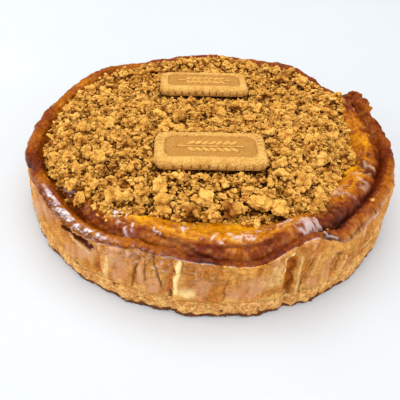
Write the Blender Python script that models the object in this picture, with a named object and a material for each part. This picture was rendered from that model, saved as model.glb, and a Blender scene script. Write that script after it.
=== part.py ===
"""A burnt-topped cheesecake on a baked biscuit base, heaped with biscuit crumbs and set with two biscuits.

Metres, +Z up. The origin is the middle of the foot, azimuth 0 is +X, and the side towards -Y is the front,
where the wrinkled skin and the curled rim show past the crumbs.
"""

import math
import random

import bmesh
import bpy
import numpy as np
from mathutils import Matrix, Vector, noise

# Cake and base
FOOT_RADIUS = 0.1186
BASE_THICKNESS = 0.0107
GAP = 0.0003
CAKE_FLOOR = BASE_THICKNESS + GAP
RIM_RADIUS = 0.1160
RIM_HEIGHT = 0.038
SIDE_SWELL = 0.0006
SIDE_WANDER = 0.0005
SIDE_SETBACK = 0.0004
CAKE_STEPS = 108
BASE_STEPS = 72
BASE_RAGGED = 0.0007
BASE_CREASE_SHARE = 0.7

# Height of the rim's outer edge and how far it rounds over, each as (azimuth in degrees, metres)
RIM_LINE = (
    (-165, 0.0365), (-138, 0.0390), (-124, 0.0352), (-105, 0.0400), (-90, 0.0372), (-77, 0.0366),
    (-65, 0.0462), (-52, 0.0300), (-38, 0.0315), (-15, 0.0372), (8, 0.0385), (14, 0.0405), (20, 0.0445),
    (26, 0.0460), (31, 0.0375), (38, 0.0352), (54, 0.0408), (75, 0.0390), (100, 0.0382), (120, 0.0365),
    (143, 0.0408), (166, 0.0345),
)
RIM_SHOULDER = (
    (-150, 0.0050), (-110, 0.0036), (-80, 0.0022), (-65, 0.0030), (-47, 0.0082), (-34, 0.0076),
    (-15, 0.0050), (30, 0.0032), (90, 0.0045), (150, 0.0056),
)

# Burnt skin inside the rim: a moat, a raised fold and a groove, as distances in from the crest
CREST_ABOVE_EDGE = (
    (-140, 0.0008), (-90, 0.0004), (-65, 0.0004), (-47, 0.0085), (-34, 0.0070), (-15, 0.0020), (60, 0.0006),
)
MOAT_IN = (
    (-150, 0.0050), (-120, 0.0046), (-92, 0.0044), (-62, 0.0058), (-45, 0.0052), (-20, 0.0056), (10, 0.0060),
    (90, 0.0062), (180, 0.0062),
)
MOAT_WIDTH = 0.0026
MOAT_DEPTH = (
    (-150, 0.0056), (-120, 0.0060), (-90, 0.0050), (-68, 0.0070), (-50, 0.0100), (-25, 0.0080), (0, 0.0050),
    (90, 0.0030), (160, 0.0046),
)
FOLD_IN = 0.0160
FOLD_WIDTH = 0.0070
FOLD_HEIGHT = 0.0034
FOLD_WANDER = 0.0016
SKIN_FALL = 0.0300
SKIN_HEIGHT = 0.0335

# Creases that the tin's paper pressed into the side: azimuth, lowest and highest point, width and depth
FRONT_CREASES = (
    (-118.0, 0.010, 0.030, 0.0028, 0.0012),
    (-107.5, 0.009, 0.041, 0.0022, 0.0013),
    (-98.6, 0.000, 0.040, 0.0024, 0.0018),
    (-69.2, 0.004, 0.041, 0.0026, 0.0028),
    (-64.5, 0.008, 0.036, 0.0022, 0.0016),
    (-56.0, 0.010, 0.040, 0.0030, 0.0020),
)
FRONT_SPAN = (-130, -45)
CREASE_SPACING = 11.0
CREASE_EASE = 0.004
SEED = 7

# Crumbs: reach of the heap as (azimuth, radius), its bare height along Y, and the lumps that stand out
HEAP_REACH = (
    (90, 0.1070), (120, 0.1010), (150, 0.0995), (170, 0.1050), (-170, 0.1062), (-150, 0.1068),
    (-137, 0.1068), (-127, 0.1010), (-119, 0.1020), (-111, 0.0905), (-100, 0.0895), (-86, 0.0858),
    (-70, 0.0900), (-62, 0.0935), (-51, 0.0965), (-40, 0.0905), (-28, 0.0875), (-17, 0.0925), (2, 0.0905),
    (15, 0.0945), (30, 0.1060), (52, 0.1050),
)
REACH_WANDER = 0.0012
REACH_SHORT_OF_CREST = 0.0015
HEAP_STEPS = 54
HEAP_FALL_FROM = 0.70
HEAP_EDGE_HEIGHT = 0.0032
HEAP_BUMP = 0.0030
HEAP_BUMP_SIZE = 0.011
HEAP_RIDGE = ((-0.120, 0.0410), (-0.041, 0.0464), (0.010, 0.0430), (0.054, 0.0393), (0.120, 0.0400))
LUMP_COUNT = 125
LUMP_LARGEST = 0.0112
LUMP_SMALLEST = 0.0066
LUMP_ROUND = 0.0096
LUMP_CHUNK = 0.72
LUMP_TILT = math.radians(30)
LUMP_SHARES = ((0.85, 1.20), (0.75, 1.00), (0.60, 0.80))
LUMP_SINK = 0.16
LUMP_FLOOR = 0.0018
LUMP_CLEARANCE = 0.0012
LUMP_TRIES = 60
LUMP_INSIDE_REACH = 0.62
LUMP_SPACING = 0.52
LUMP_UNEVEN = (0.78, 1.18)

# The largest crumbs, which stand along the front edge of the heap, as (x, y, size)
FRONT_LUMPS = (
    (-0.0503, -0.0770, 0.0125), (-0.0245, -0.0775, 0.0110), (-0.0260, -0.0680, 0.0100),
    (-0.0090, -0.0825, 0.0105), (-0.0020, -0.0725, 0.0108), (0.0015, -0.0815, 0.0078),
    (0.0120, -0.0785, 0.0118), (0.0263, -0.0745, 0.0130), (0.0373, -0.0765, 0.0115),
    (0.0514, -0.0560, 0.0108), (0.0560, -0.0735, 0.0090), (-0.0735, -0.0705, 0.0085),
    (-0.0905, -0.0480, 0.0085), (0.0815, -0.0280, 0.0105), (0.0243, 0.0047, 0.0095),
    (-0.0783, 0.0400, 0.0085), (-0.0680, -0.0790, 0.0072), (0.0690, -0.0450, 0.0092),
)

# Biscuits
BISCUIT_LENGTH = 0.0640
BISCUIT_WIDTH = 0.0310
BISCUIT_EDGE_HEIGHT = 0.0053
BISCUIT_HEIGHT = 0.0065
BISCUIT_CORNER = 0.0065
BISCUIT_FOOT_INSET = 0.0006
CROWN_INSET = 0.0022
PANEL_INSET = 0.0055
PANEL_WALL = 0.0007
PANEL_DEPTH = 0.0011
SCALLOPS = 36
SCALLOP_DEPTH = 0.0005
SEAT_MARGIN = 0.011
SEAT_FADE = 0.006

# Each biscuit's name, middle of its top face, turn about Z and tilt about its long side
BISCUITS = (
    ("biscuit_front", (-0.0010, -0.0413, 0.0532), 0.076, 0.030),
    ("biscuit_back", (-0.0078, 0.0540, 0.0461), 0.088, -0.042),
)

SMOOTH_ANGLE = math.radians(40)


def clear_scene():
    """Empties the scene that Blender starts with."""
    for item in list(bpy.data.objects):
        bpy.data.objects.remove(item, do_unlink=True)


def new_collection(name):
    """A collection under the scene's own."""
    collection = bpy.data.collections.new(name)
    bpy.context.scene.collection.children.link(collection)
    return collection


def new_material(name, colour, roughness):
    """A plain baked finish with the given linear colour."""
    material = bpy.data.materials.new(name)
    material.use_nodes = True
    shader = material.node_tree.nodes["Principled BSDF"]
    shader.inputs["Base Color"].default_value = (*colour, 1.0)
    shader.inputs["Roughness"].default_value = roughness
    shader.inputs["Metallic"].default_value = 0.0
    return material


def around(stations, azimuth):
    """A smooth closed curve through (degrees, value) stations, read at the azimuths."""
    marks = np.array(sorted(stations), float)
    angles = np.concatenate([marks[:, 0] - 360, marks[:, 0], marks[:, 0] + 360])
    values = np.tile(marks[:, 1], 3)
    slopes = np.gradient(values, angles)
    turned = (np.asarray(azimuth, float) + 180) % 360 - 180
    first = np.searchsorted(angles, turned, side="right") - 1
    span = angles[first + 1] - angles[first]
    t = (turned - angles[first]) / span
    return (
        values[first] * (1 + 2 * t) * (1 - t) ** 2
        + values[first + 1] * t * t * (3 - 2 * t)
        + span * slopes[first] * t * (1 - t) ** 2
        - span * slopes[first + 1] * t * t * (1 - t)
    )


def hump(distance, width):
    """A soft bump of height 1, as wide as the given half width."""
    return np.exp(-((distance / width) ** 2))


def ease(value, low, high):
    """0 below low, 1 above high and smooth between."""
    t = np.clip((value - low) / (high - low), 0, 1)
    return t * t * (3 - 2 * t)


def wander(azimuth, turns, phase):
    """A slow closed wave between -1 and 1 that never quite repeats."""
    angle = np.radians(azimuth)
    return 0.6 * np.sin(turns * angle + phase) + 0.4 * np.sin((2 * turns + 1) * angle + 2.3 * phase)


def side_creases():
    """The creases seen at the front, and the same kind all round the rest of the side."""
    rule = random.Random(SEED)
    creases = list(FRONT_CREASES)
    azimuth = FRONT_SPAN[1] + CREASE_SPACING
    while azimuth < FRONT_SPAN[0] + 360 - CREASE_SPACING / 2:
        low = rule.uniform(0.004, 0.014)
        high = rule.uniform(0.028, 0.040)
        creases.append((azimuth, low, high, rule.uniform(0.0022, 0.0032), rule.uniform(0.0008, 0.0020)))
        azimuth += CREASE_SPACING * rule.uniform(0.7, 1.3)
    return creases


CREASES = side_creases()


def crease_depth(azimuth, height):
    """How far the side is pressed in at each azimuth and height."""
    depth = np.zeros(np.broadcast(azimuth, height).shape)
    for middle, low, high, width, deepest in CREASES:
        away = (azimuth - middle + 180) % 360 - 180
        along = ease(height, low, low + CREASE_EASE) * ease(-height, -high, CREASE_EASE - high)
        depth = depth + deepest * along * hump(np.radians(away) * RIM_RADIUS, width)
    return depth


def side_radius(azimuth, height):
    """Radius of the cake's side, which leans in and swells a little."""
    part = np.clip((height - CAKE_FLOOR) / (RIM_HEIGHT - CAKE_FLOOR), 0, 1)
    foot = FOOT_RADIUS - SIDE_SETBACK
    lean = foot + (RIM_RADIUS - foot) * part + SIDE_SWELL * np.sin(np.pi * part)
    return lean + SIDE_WANDER * wander(azimuth, 5, 0.7) - crease_depth(azimuth, height)


def rim_edge(azimuth):
    """Height where the side turns over into the rim."""
    return around(RIM_LINE, azimuth) - around(RIM_SHOULDER, azimuth) * 0.5


def crest_radius(azimuth):
    """Radius of the rim's highest line."""
    return side_radius(azimuth, rim_edge(azimuth)) - around(RIM_SHOULDER, azimuth)


def crest_height(azimuth):
    """Height of the rim's highest line."""
    return around(RIM_LINE, azimuth) + around(CREST_ABOVE_EDGE, azimuth)


def skin_height(azimuth, radius):
    """Height of the burnt top at a radius inside the crest."""
    inward = crest_radius(azimuth) - radius
    fold_at = FOLD_IN + FOLD_WANDER * wander(azimuth, 4, 1.9)
    level = crest_height(azimuth) + (SKIN_HEIGHT - crest_height(azimuth)) * ease(inward, 0, SKIN_FALL)
    moat_in = around(MOAT_IN, azimuth)
    moat = around(MOAT_DEPTH, azimuth) * hump(inward - moat_in, MOAT_WIDTH) * ease(inward / moat_in, 0, 0.5)
    return level - moat + FOLD_HEIGHT * hump(inward - fold_at, FOLD_WIDTH)


def heap_reach(azimuth):
    """Radius at which the crumbs end, never past the rim's crest."""
    reach = around(HEAP_REACH, azimuth) + REACH_WANDER * wander(azimuth, 9, 0.4)
    return np.minimum(reach, crest_radius(azimuth) - REACH_SHORT_OF_CREST)


def polar(azimuth, radius, height):
    """Points from azimuths in degrees, radii and heights."""
    angle = np.radians(azimuth)
    return np.stack([radius * np.cos(angle), radius * np.sin(angle), height], axis=-1)


def wrapped(name, rows, steps, place, collection, material):
    """A closed body made from a sphere primitive, whose rings go where place(row, azimuth) says.

    Row 0 is the pole underneath, and row rows - 1 the pole on top.
    """
    shape = bmesh.new()
    bmesh.ops.create_uvsphere(shape, u_segments=steps, v_segments=rows - 1, radius=1.0)
    points = np.array([vertex.co[:] for vertex in shape.verts])
    fall = np.arccos(np.clip(-points[:, 2], -1, 1)) / math.pi
    row = np.round(fall * (rows - 1)).astype(int)
    azimuth = np.degrees(np.arctan2(points[:, 1], points[:, 0]))
    moved = place(row, azimuth)
    for vertex, point in zip(shape.verts, moved):
        vertex.co = point
    mesh = bpy.data.meshes.new(name)
    shape.to_mesh(mesh)
    shape.free()
    mesh.materials.append(material)
    mesh.shade_smooth()
    mesh.set_sharp_from_angle(angle=SMOOTH_ANGLE)
    body = bpy.data.objects.new(name, mesh)
    collection.objects.link(body)
    return body


# Rows of the base from the pole underneath up: share of the foot's radius, share of the thickness, raggedness
BASE_ROWS = (
    (0.0, 0.0, 0.0),
    (0.985, 0.0, 0.0),
    (1.0, 0.16, 1.0),
    (0.998, 0.80, 1.0),
    (0.985, 1.0, 0.0),
    (0.0, 1.0, 0.0),
)


def base_place(row, azimuth):
    """The baked base: a flat disc whose edge crumbles."""
    share, height, rough = np.array(BASE_ROWS)[row].T
    ragged = BASE_RAGGED * wander(azimuth, 23, 1.1 * row) * rough
    creased = crease_depth(azimuth, BASE_THICKNESS) * BASE_CREASE_SHARE * (share > 0)
    return polar(azimuth, share * FOOT_RADIUS + ragged - creased, height * BASE_THICKNESS)


SIDE_PARTS = (0.0, 0.18, 0.38, 0.60, 0.80, 1.0)
SHOULDER_ANGLES = (35, 65, 90)
SKIN_PARTS = (0.12, 0.26, 0.40, 0.54, 0.68, 0.84, 1.0)
UNDER_HEAP_PARTS = (0.91, 0.80, 0.40)


def cake_place(row, azimuth):
    """The cheesecake: flat below, creased side, rolled rim, moat and fold, and a sunken middle."""
    edge = rim_edge(azimuth)
    crest = crest_radius(azimuth)
    top = crest_height(azimuth)
    shoulder = around(RIM_SHOULDER, azimuth)
    reach = heap_reach(azimuth)
    radius = np.zeros(len(row))
    height = np.full(len(row), CAKE_FLOOR)
    first = 1
    for number, part in enumerate(SIDE_PARTS):
        here = row == first + number
        level = CAKE_FLOOR + (edge - CAKE_FLOOR) * part
        radius = np.where(here, side_radius(azimuth, level), radius)
        height = np.where(here, level, height)
    first += len(SIDE_PARTS)
    for number, degrees in enumerate(SHOULDER_ANGLES):
        here = row == first + number
        angle = math.radians(degrees)
        radius = np.where(here, crest + shoulder * math.cos(angle), radius)
        height = np.where(here, edge + (top - edge) * math.sin(angle), height)
    first += len(SHOULDER_ANGLES)
    for number, part in enumerate(SKIN_PARTS):
        here = row == first + number
        level = crest + (reach - crest) * part
        radius = np.where(here, level, radius)
        height = np.where(here, skin_height(azimuth, level), height)
    first += len(SKIN_PARTS)
    for number, part in enumerate(UNDER_HEAP_PARTS):
        here = row == first + number
        radius = np.where(here, reach * part, radius)
        height = np.where(here, skin_height(azimuth, reach * part), height)
    height = np.where(row == first + len(UNDER_HEAP_PARTS), SKIN_HEIGHT, height)
    return polar(azimuth, radius, height)


CAKE_ROWS = 2 + len(SIDE_PARTS) + len(SHOULDER_ANGLES) + len(SKIN_PARTS) + len(UNDER_HEAP_PARTS)


def biscuit_frame(middle, turn, tilt):
    """Matrix that puts a biscuit's own space, with its underside at z = 0, in its place."""
    lie = Matrix.Translation(Vector(middle)) @ Matrix.Rotation(turn, 4, "Z") @ Matrix.Rotation(tilt, 4, "X")
    return lie @ Matrix.Translation((0, 0, -BISCUIT_HEIGHT))


def seat_height(x, y, height):
    """The heap's height, flattened where a biscuit rests on it."""
    for _, middle, turn, tilt in BISCUITS:
        frame = biscuit_frame(middle, turn, tilt)
        across = math.cos(turn) * (x - middle[0]) + math.sin(turn) * (y - middle[1])
        along = math.cos(turn) * (y - middle[1]) - math.sin(turn) * (x - middle[0])
        normal = frame.to_3x3() @ Vector((0, 0, 1))
        foot = frame.translation
        plane = foot.z - (normal.x * (x - foot.x) + normal.y * (y - foot.y)) / normal.z - GAP
        past = np.maximum(
            np.abs(across) - BISCUIT_LENGTH / 2 - SEAT_MARGIN, np.abs(along) - BISCUIT_WIDTH / 2 - SEAT_MARGIN
        )
        height = plane + (height - plane) * ease(past, 0, SEAT_FADE)
    return height


def heap_top(azimuth, part):
    """Height of the bare heap at a part of its reach."""
    radius = heap_reach(azimuth) * part
    angle = np.radians(azimuth)
    x = radius * np.cos(angle)
    y = radius * np.sin(angle)
    ridge = np.array(HEAP_RIDGE)
    full = np.interp(y, ridge[:, 0], ridge[:, 1])
    bumps = [noise.noise(Vector((px, py, 0)) / HEAP_BUMP_SIZE) for px, py in zip(x, y)]
    full = seat_height(x, y, full + HEAP_BUMP * np.array(bumps))
    edge = skin_height(azimuth, radius) + HEAP_EDGE_HEIGHT
    return edge + (full - edge) * (1 - ease(part, HEAP_FALL_FROM, 1.0))


HEAP_TOP_PARTS = (0.985, 0.93, 0.84, 0.74, 0.63, 0.51, 0.38, 0.24, 0.12)


def heap_place(row, azimuth):
    """The heap's core: the skin's own form below, a heaped top and a steep uneven edge."""
    under = tuple(reversed(UNDER_HEAP_PARTS)) + (1.0,)
    parts = np.array((0.0,) + under + HEAP_TOP_PARTS + (0.0,))[row]
    is_under = row <= len(under)
    reach = heap_reach(azimuth)
    nearby = [azimuth + step * 360 / CAKE_STEPS for step in (-2, -1, 0, 1, 2)]
    below = np.max([skin_height(near, heap_reach(near) * parts) for near in nearby], axis=0) + GAP
    above = heap_top(azimuth, parts)
    return polar(azimuth, reach * parts, np.where(is_under, below, above))


HEAP_ROWS = 3 + len(UNDER_HEAP_PARTS) + len(HEAP_TOP_PARTS)


def clear_of_biscuits(point, size):
    """Whether a lump of this size keeps off both biscuits."""
    for _, middle, turn, tilt in BISCUITS:
        local = biscuit_frame(middle, turn, tilt).inverted() @ Vector(point)
        reach_x = BISCUIT_LENGTH / 2 + size / 2 + LUMP_CLEARANCE
        reach_y = BISCUIT_WIDTH / 2 + size / 2 + LUMP_CLEARANCE
        if abs(local.x) < reach_x and abs(local.y) < reach_y:
            return False
    return True


def lump_places():
    """Seeded places for the lumps, the front ones first and then from large to small, as (x, y, size)."""
    rule = random.Random(SEED)
    places = list(FRONT_LUMPS)
    tries = 0
    while len(places) < LUMP_COUNT and tries < LUMP_COUNT * LUMP_TRIES:
        tries += 1
        size = LUMP_LARGEST + (LUMP_SMALLEST - LUMP_LARGEST) * len(places) / LUMP_COUNT
        azimuth = rule.uniform(-180, 180)
        part = math.sqrt(rule.uniform(0, 1))
        reach = float(heap_reach(np.array([azimuth]))[0]) - size * LUMP_INSIDE_REACH
        x = reach * part * math.cos(math.radians(azimuth))
        y = reach * part * math.sin(math.radians(azimuth))
        apart = all(
            math.hypot(x - other[0], y - other[1]) > (size + other[2]) * LUMP_SPACING for other in places
        )
        if apart and clear_of_biscuits((x, y, RIM_HEIGHT), size):
            places.append((x, y, size))
    return places


def add_lumps(collection):
    """Low, uneven lumps of crumb sunk into the heap's top."""
    rule = random.Random(SEED + 1)
    for number, (x, y, size) in enumerate(lump_places()):
        azimuth = np.array([math.degrees(math.atan2(y, x))])
        part = math.hypot(x, y) / float(heap_reach(azimuth)[0])
        top = float(heap_top(azimuth, np.array([part]))[0])
        shape = bmesh.new()
        if size > LUMP_ROUND:
            bmesh.ops.create_icosphere(shape, subdivisions=1, radius=size / 2)
        else:
            bmesh.ops.create_cube(shape, size=size * LUMP_CHUNK)
        for vertex in shape.verts:
            vertex.co *= rule.uniform(*LUMP_UNEVEN)
        squash = Matrix.Diagonal([rule.uniform(*share) for share in LUMP_SHARES] + [1])
        lie = Matrix.Rotation(rule.uniform(0, math.tau), 4, "Z")
        lie = lie @ Matrix.Rotation(rule.uniform(-LUMP_TILT, LUMP_TILT), 4, "X")
        skin = float(skin_height(azimuth, np.array([math.hypot(x, y)]))[0])
        lift = Matrix.Translation((x, y, max(top + size * LUMP_SINK, skin + LUMP_FLOOR + size / 2)))
        bmesh.ops.transform(shape, matrix=lift @ lie @ squash, verts=shape.verts)
        mesh = bpy.data.meshes.new(f"lump_{number}")
        shape.to_mesh(mesh)
        shape.free()
        collection.objects.link(bpy.data.objects.new(f"lump_{number}", mesh))


def keep_largest_body(shape):
    """Drops every scrap that the union left loose."""
    unseen = set(shape.verts)
    bodies = []
    while unseen:
        front = [unseen.pop()]
        body = list(front)
        while front:
            vertex = front.pop()
            for edge in vertex.link_edges:
                other = edge.other_vert(vertex)
                if other in unseen:
                    unseen.discard(other)
                    front.append(other)
                    body.append(other)
        bodies.append(body)
    bodies.sort(key=len)
    for body in bodies[:-1]:
        bmesh.ops.delete(shape, geom=body, context="VERTS")


def fuse(body, lumps):
    """Joins the lumps to the body with one union, then removes them."""
    union = body.modifiers.new("lumps", "BOOLEAN")
    union.operation = "UNION"
    union.operand_type = "COLLECTION"
    union.collection = lumps
    union.solver = "MANIFOLD"
    bpy.context.view_layer.update()
    evaluated = body.evaluated_get(bpy.context.evaluated_depsgraph_get())
    joined = bpy.data.meshes.new_from_object(evaluated)
    body.modifiers.remove(union)
    shape = bmesh.new()
    shape.from_mesh(joined)
    keep_largest_body(shape)
    bmesh.ops.triangulate(shape, faces=shape.faces)
    shape.to_mesh(joined)
    shape.free()
    body.data = joined
    for lump in list(lumps.objects):
        bpy.data.objects.remove(lump, do_unlink=True)
    bpy.data.collections.remove(lumps)


def rounded_outline(angle, length, width, corner):
    """Points spaced evenly along a rounded rectangle, one for each angle in degrees, and their way out."""
    straight_x = length / 2 - corner
    straight_y = width / 2 - corner
    arc = math.pi / 2 * corner
    total = 4 * (straight_x + straight_y + arc)
    places = []
    for turn in angle:
        way = (turn % 360) / 360 * total
        quarter = total / 4
        side = int(way // quarter)
        along = way - side * quarter
        first = straight_y if side % 2 == 0 else straight_x
        lead = straight_x if side % 2 == 0 else straight_y
        if along < first:
            point, out = (lead + corner, along), (1.0, 0.0)
        elif along < first + arc:
            bend = (along - first) / corner
            out = (math.cos(bend), math.sin(bend))
            point = (lead + corner * out[0], first + corner * out[1])
        else:
            point, out = (lead - (along - first - arc), first + corner), (0.0, 1.0)
        cosine, sine = ((1, 0), (0, 1), (-1, 0), (0, -1))[side]
        places.append([
            cosine * point[0] - sine * point[1], sine * point[0] + cosine * point[1],
            cosine * out[0] - sine * out[1], sine * out[0] + cosine * out[1],
        ])
    return np.array(places)


# One row of the biscuit a line: how far in from the edge, height, and share of the scallop
BISCUIT_ROWS = (
    (None, 0.0, 0.0),
    (BISCUIT_FOOT_INSET, 0.0, 1.0),
    (0.0, BISCUIT_EDGE_HEIGHT, 1.0),
    (CROWN_INSET, BISCUIT_HEIGHT, 0.25),
    (PANEL_INSET, BISCUIT_HEIGHT, 0.0),
    (PANEL_INSET + PANEL_WALL, BISCUIT_HEIGHT - PANEL_DEPTH, 0.0),
    (None, BISCUIT_HEIGHT - PANEL_DEPTH, 0.0),
)


def biscuit_place(row, azimuth):
    """An oblong pressed biscuit: scalloped side, sloping border and a sunk panel left plain."""
    half_turn = 180 / SCALLOPS
    step = np.round((azimuth % 360) / half_turn)
    outline = rounded_outline(step * half_turn, BISCUIT_LENGTH, BISCUIT_WIDTH, BISCUIT_CORNER)
    notch = SCALLOP_DEPTH * (step % 2)
    points = np.zeros((len(row), 3))
    for number, (inset, height, share) in enumerate(BISCUIT_ROWS):
        here = row == number
        points[here, 2] = height
        if inset is not None:
            inward = inset + notch[here] * share
            points[here, 0] = outline[here, 0] - outline[here, 2] * inward
            points[here, 1] = outline[here, 1] - outline[here, 3] * inward
    return points


def main():
    """Builds the cake from the foot up."""
    clear_scene()
    cake = new_collection("cheesecake_with_biscuits")
    base_finish = new_material("baked_base", (0.42, 0.22, 0.07), 0.8)
    cake_finish = new_material("burnt_cheese", (0.40, 0.17, 0.05), 0.4)
    crumb_finish = new_material("crumb", (0.62, 0.36, 0.11), 0.85)
    biscuit_finish = new_material("biscuit", (0.66, 0.40, 0.14), 0.75)
    wrapped("biscuit_base", len(BASE_ROWS), BASE_STEPS, base_place, cake, base_finish)
    wrapped("cheesecake", CAKE_ROWS, CAKE_STEPS, cake_place, cake, cake_finish)
    heap = wrapped("crumb_topping", HEAP_ROWS, HEAP_STEPS, heap_place, cake, crumb_finish)
    lumps = new_collection("lumps")
    add_lumps(lumps)
    fuse(heap, lumps)
    for name, middle, turn, tilt in BISCUITS:
        biscuit = wrapped(name, len(BISCUIT_ROWS), 2 * SCALLOPS, biscuit_place, cake, biscuit_finish)
        lie = biscuit_frame(middle, turn, tilt)
        biscuit.location = lie.to_translation()
        biscuit.rotation_euler = lie.to_euler()


main()
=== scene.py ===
"""Looks of a burnt-topped cheesecake on a baked base, heaped with crumbs and set with two biscuits.

Metres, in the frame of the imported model: +Z up, the front towards -Y, azimuth 0 along +X.
"""

import itertools
import logging
import math
import random
from collections.abc import Sequence
from dataclasses import dataclass, field
from enum import Enum, IntEnum

import bmesh
import bpy
import numpy as np
from mathutils import Matrix, Vector, noise


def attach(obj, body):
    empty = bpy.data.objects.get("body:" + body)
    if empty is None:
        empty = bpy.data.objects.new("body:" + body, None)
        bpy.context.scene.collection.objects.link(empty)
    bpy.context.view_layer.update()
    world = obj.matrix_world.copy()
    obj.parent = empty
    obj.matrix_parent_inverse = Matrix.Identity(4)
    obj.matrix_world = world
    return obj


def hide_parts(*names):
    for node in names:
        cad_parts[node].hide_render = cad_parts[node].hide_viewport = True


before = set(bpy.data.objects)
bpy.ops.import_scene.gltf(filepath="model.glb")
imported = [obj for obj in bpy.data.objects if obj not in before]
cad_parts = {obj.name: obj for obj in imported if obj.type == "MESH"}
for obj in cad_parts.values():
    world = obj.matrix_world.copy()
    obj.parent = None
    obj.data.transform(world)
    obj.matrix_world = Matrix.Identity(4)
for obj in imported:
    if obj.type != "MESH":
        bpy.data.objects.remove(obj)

LOG = logging.getLogger("cheesecake")
Array = np.ndarray
Stations = Sequence[tuple[float, float]]
Colour = tuple[float, float, float, float]
MEAN_RADIUS = 0.1165


class Seed(IntEnum):
    """Which noise each kind of unevenness takes, so that no two are alike."""

    SIDE_SHIFT = 3
    SIDE_LIFT = 5
    SIDE_DENTS = 11
    SIDE_PLEATS = 12
    SIDE_LAYERS = 13
    SIDE_GRIT = 14
    SIDE_FACETS = 15
    SIDE_WEAR = 17
    FOLD_WAVE = 21
    FOLD_RIDGES = 22
    RIM_CREASES = 23
    RIM_LUMPS = 24
    RIM_RAGGED = 25
    SHEETS = 26
    SHEETS_TORN = 27
    BROWNING = 28
    SPOTS = 29
    CRUMPLE = 30
    SAND = 33
    SEAM = 34
    GLAZE = 35
    LEAVES = 36
    LEAF_LUMPS = 37
    GLAZE_SCALES = 38
    SHEETS_BENT = 39
    ROLL_STREAKS = 40
    BASE_GRIT = 41
    BASE_LUMPS = 42
    BASE_PITS = 43
    BASE_TOAST = 44
    BASE_CRUMBS = 45
    BED_LUMPS = 51
    BED_GRAINS = 52
    CRUMB_SWELL = 61
    CRUMB_FOLDS = 62
    BISCUIT_GRIT = 71
    BISCUIT_WAVES = 74


def around(stations: Stations, azimuth: Array) -> Array:
    """Reads a smooth closed curve.

    Args:
        stations: Points of the curve as (azimuth in degrees, value).
        azimuth: Where to read it, in degrees.

    Returns:
        The value at each azimuth.
    """
    marks = np.array(sorted(stations), float)
    angles = np.concatenate([marks[:, 0] - 360, marks[:, 0], marks[:, 0] + 360])
    values = np.tile(marks[:, 1], 3)
    slopes = np.gradient(values, angles)
    turned = (np.asarray(azimuth, float) + 180) % 360 - 180
    first = np.searchsorted(angles, turned, side="right") - 1
    span = angles[first + 1] - angles[first]
    t = (turned - angles[first]) / span
    return (
        values[first] * (1 + 2 * t) * (1 - t) ** 2
        + values[first + 1] * t * t * (3 - 2 * t)
        + span * slopes[first] * t * (1 - t) ** 2
        - span * slopes[first + 1] * t * t * (1 - t)
    )


def hump(distance: Array, width: float) -> Array:
    """A soft bump of height 1 with the given half width."""
    return np.exp(-((distance / width) ** 2))


def ease(value: Array, low: float, high: float) -> Array:
    """0 below low, 1 above high and smooth between."""
    t = np.clip((value - low) / (high - low), 0, 1)
    return t * t * (3 - 2 * t)


def wander(azimuth: Array, turns: float, phase: float) -> Array:
    """A slow closed wave between -1 and 1 that never quite repeats."""
    angle = np.radians(azimuth)
    return 0.6 * np.sin(turns * angle + phase) + 0.4 * np.sin((2 * turns + 1) * angle + 2.3 * phase)


def turn_between(azimuth: Array, middle: float) -> Array:
    """Degrees from the middle to each azimuth, the short way round."""
    return (azimuth - middle + 180) % 360 - 180


def sector(azimuth: Array, middle: float, breadth: float, low: float = 0.2, high: float = 0.6) -> Array:
    """1 in a part of the ring, 0 outside it and smooth between."""
    return ease(hump(turn_between(azimuth, middle), breadth), low, high)


def polar(azimuth: Array, radius: Array | float, height: Array | float) -> Array:
    """Points from azimuths in degrees, radii and heights."""
    angle = np.radians(azimuth)
    return np.stack(np.broadcast_arrays(radius * np.cos(angle), radius * np.sin(angle), height), axis=-1)


def lattice(cells: Array, seed: int) -> Array:
    """Fixed random numbers from 0 to 1, one for each whole-number cell."""
    mixed = (cells * np.array([73856093, 19349663, 83492791])).sum(axis=-1) + seed * 668265263
    mixed = (mixed ^ (mixed >> 13)) * 1274126177 & 0xFFFFFFFF
    mixed = (mixed ^ (mixed >> 15)) * 2246822519 & 0xFFFFFFFF
    return ((mixed ^ (mixed >> 16)) & 0xFFFFFF) / 0xFFFFFF


def rough(points: Array, size: float | Sequence[float], seed: int, octaves: int = 1) -> Array:
    """Smooth noise over points.

    Args:
        points: Places, with three numbers along the last axis.
        size: Size of the largest lumps, one for all axes or one for each.
        seed: Which noise it is.
        octaves: How many finer layers it has, each half as large and half as strong.

    Returns:
        Values between about -1 and 1.
    """
    total = np.zeros(points.shape[:-1])
    for octave in range(octaves):
        scaled = points / np.array(size) * 2**octave + 0.37 * octave
        cell = np.floor(scaled).astype(np.int64)
        part = scaled - cell
        fade = part * part * (3 - 2 * part)
        value = np.zeros(points.shape[:-1])
        for corner in itertools.product((0, 1), repeat=3):
            share = np.prod(np.where(corner, fade, 1 - fade), axis=-1)
            value += share * lattice(cell + np.array(corner), seed + octave)
        total += (2 * value - 1) * 0.5**octave
    return total


def folds(points: Array, size: float | Sequence[float], seed: int, octaves: int = 1) -> Array:
    """Noise with sharp ridge lines, between about -1 and 1."""
    return 1 - 2.4 * np.abs(rough(points, size, seed, octaves))


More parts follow.
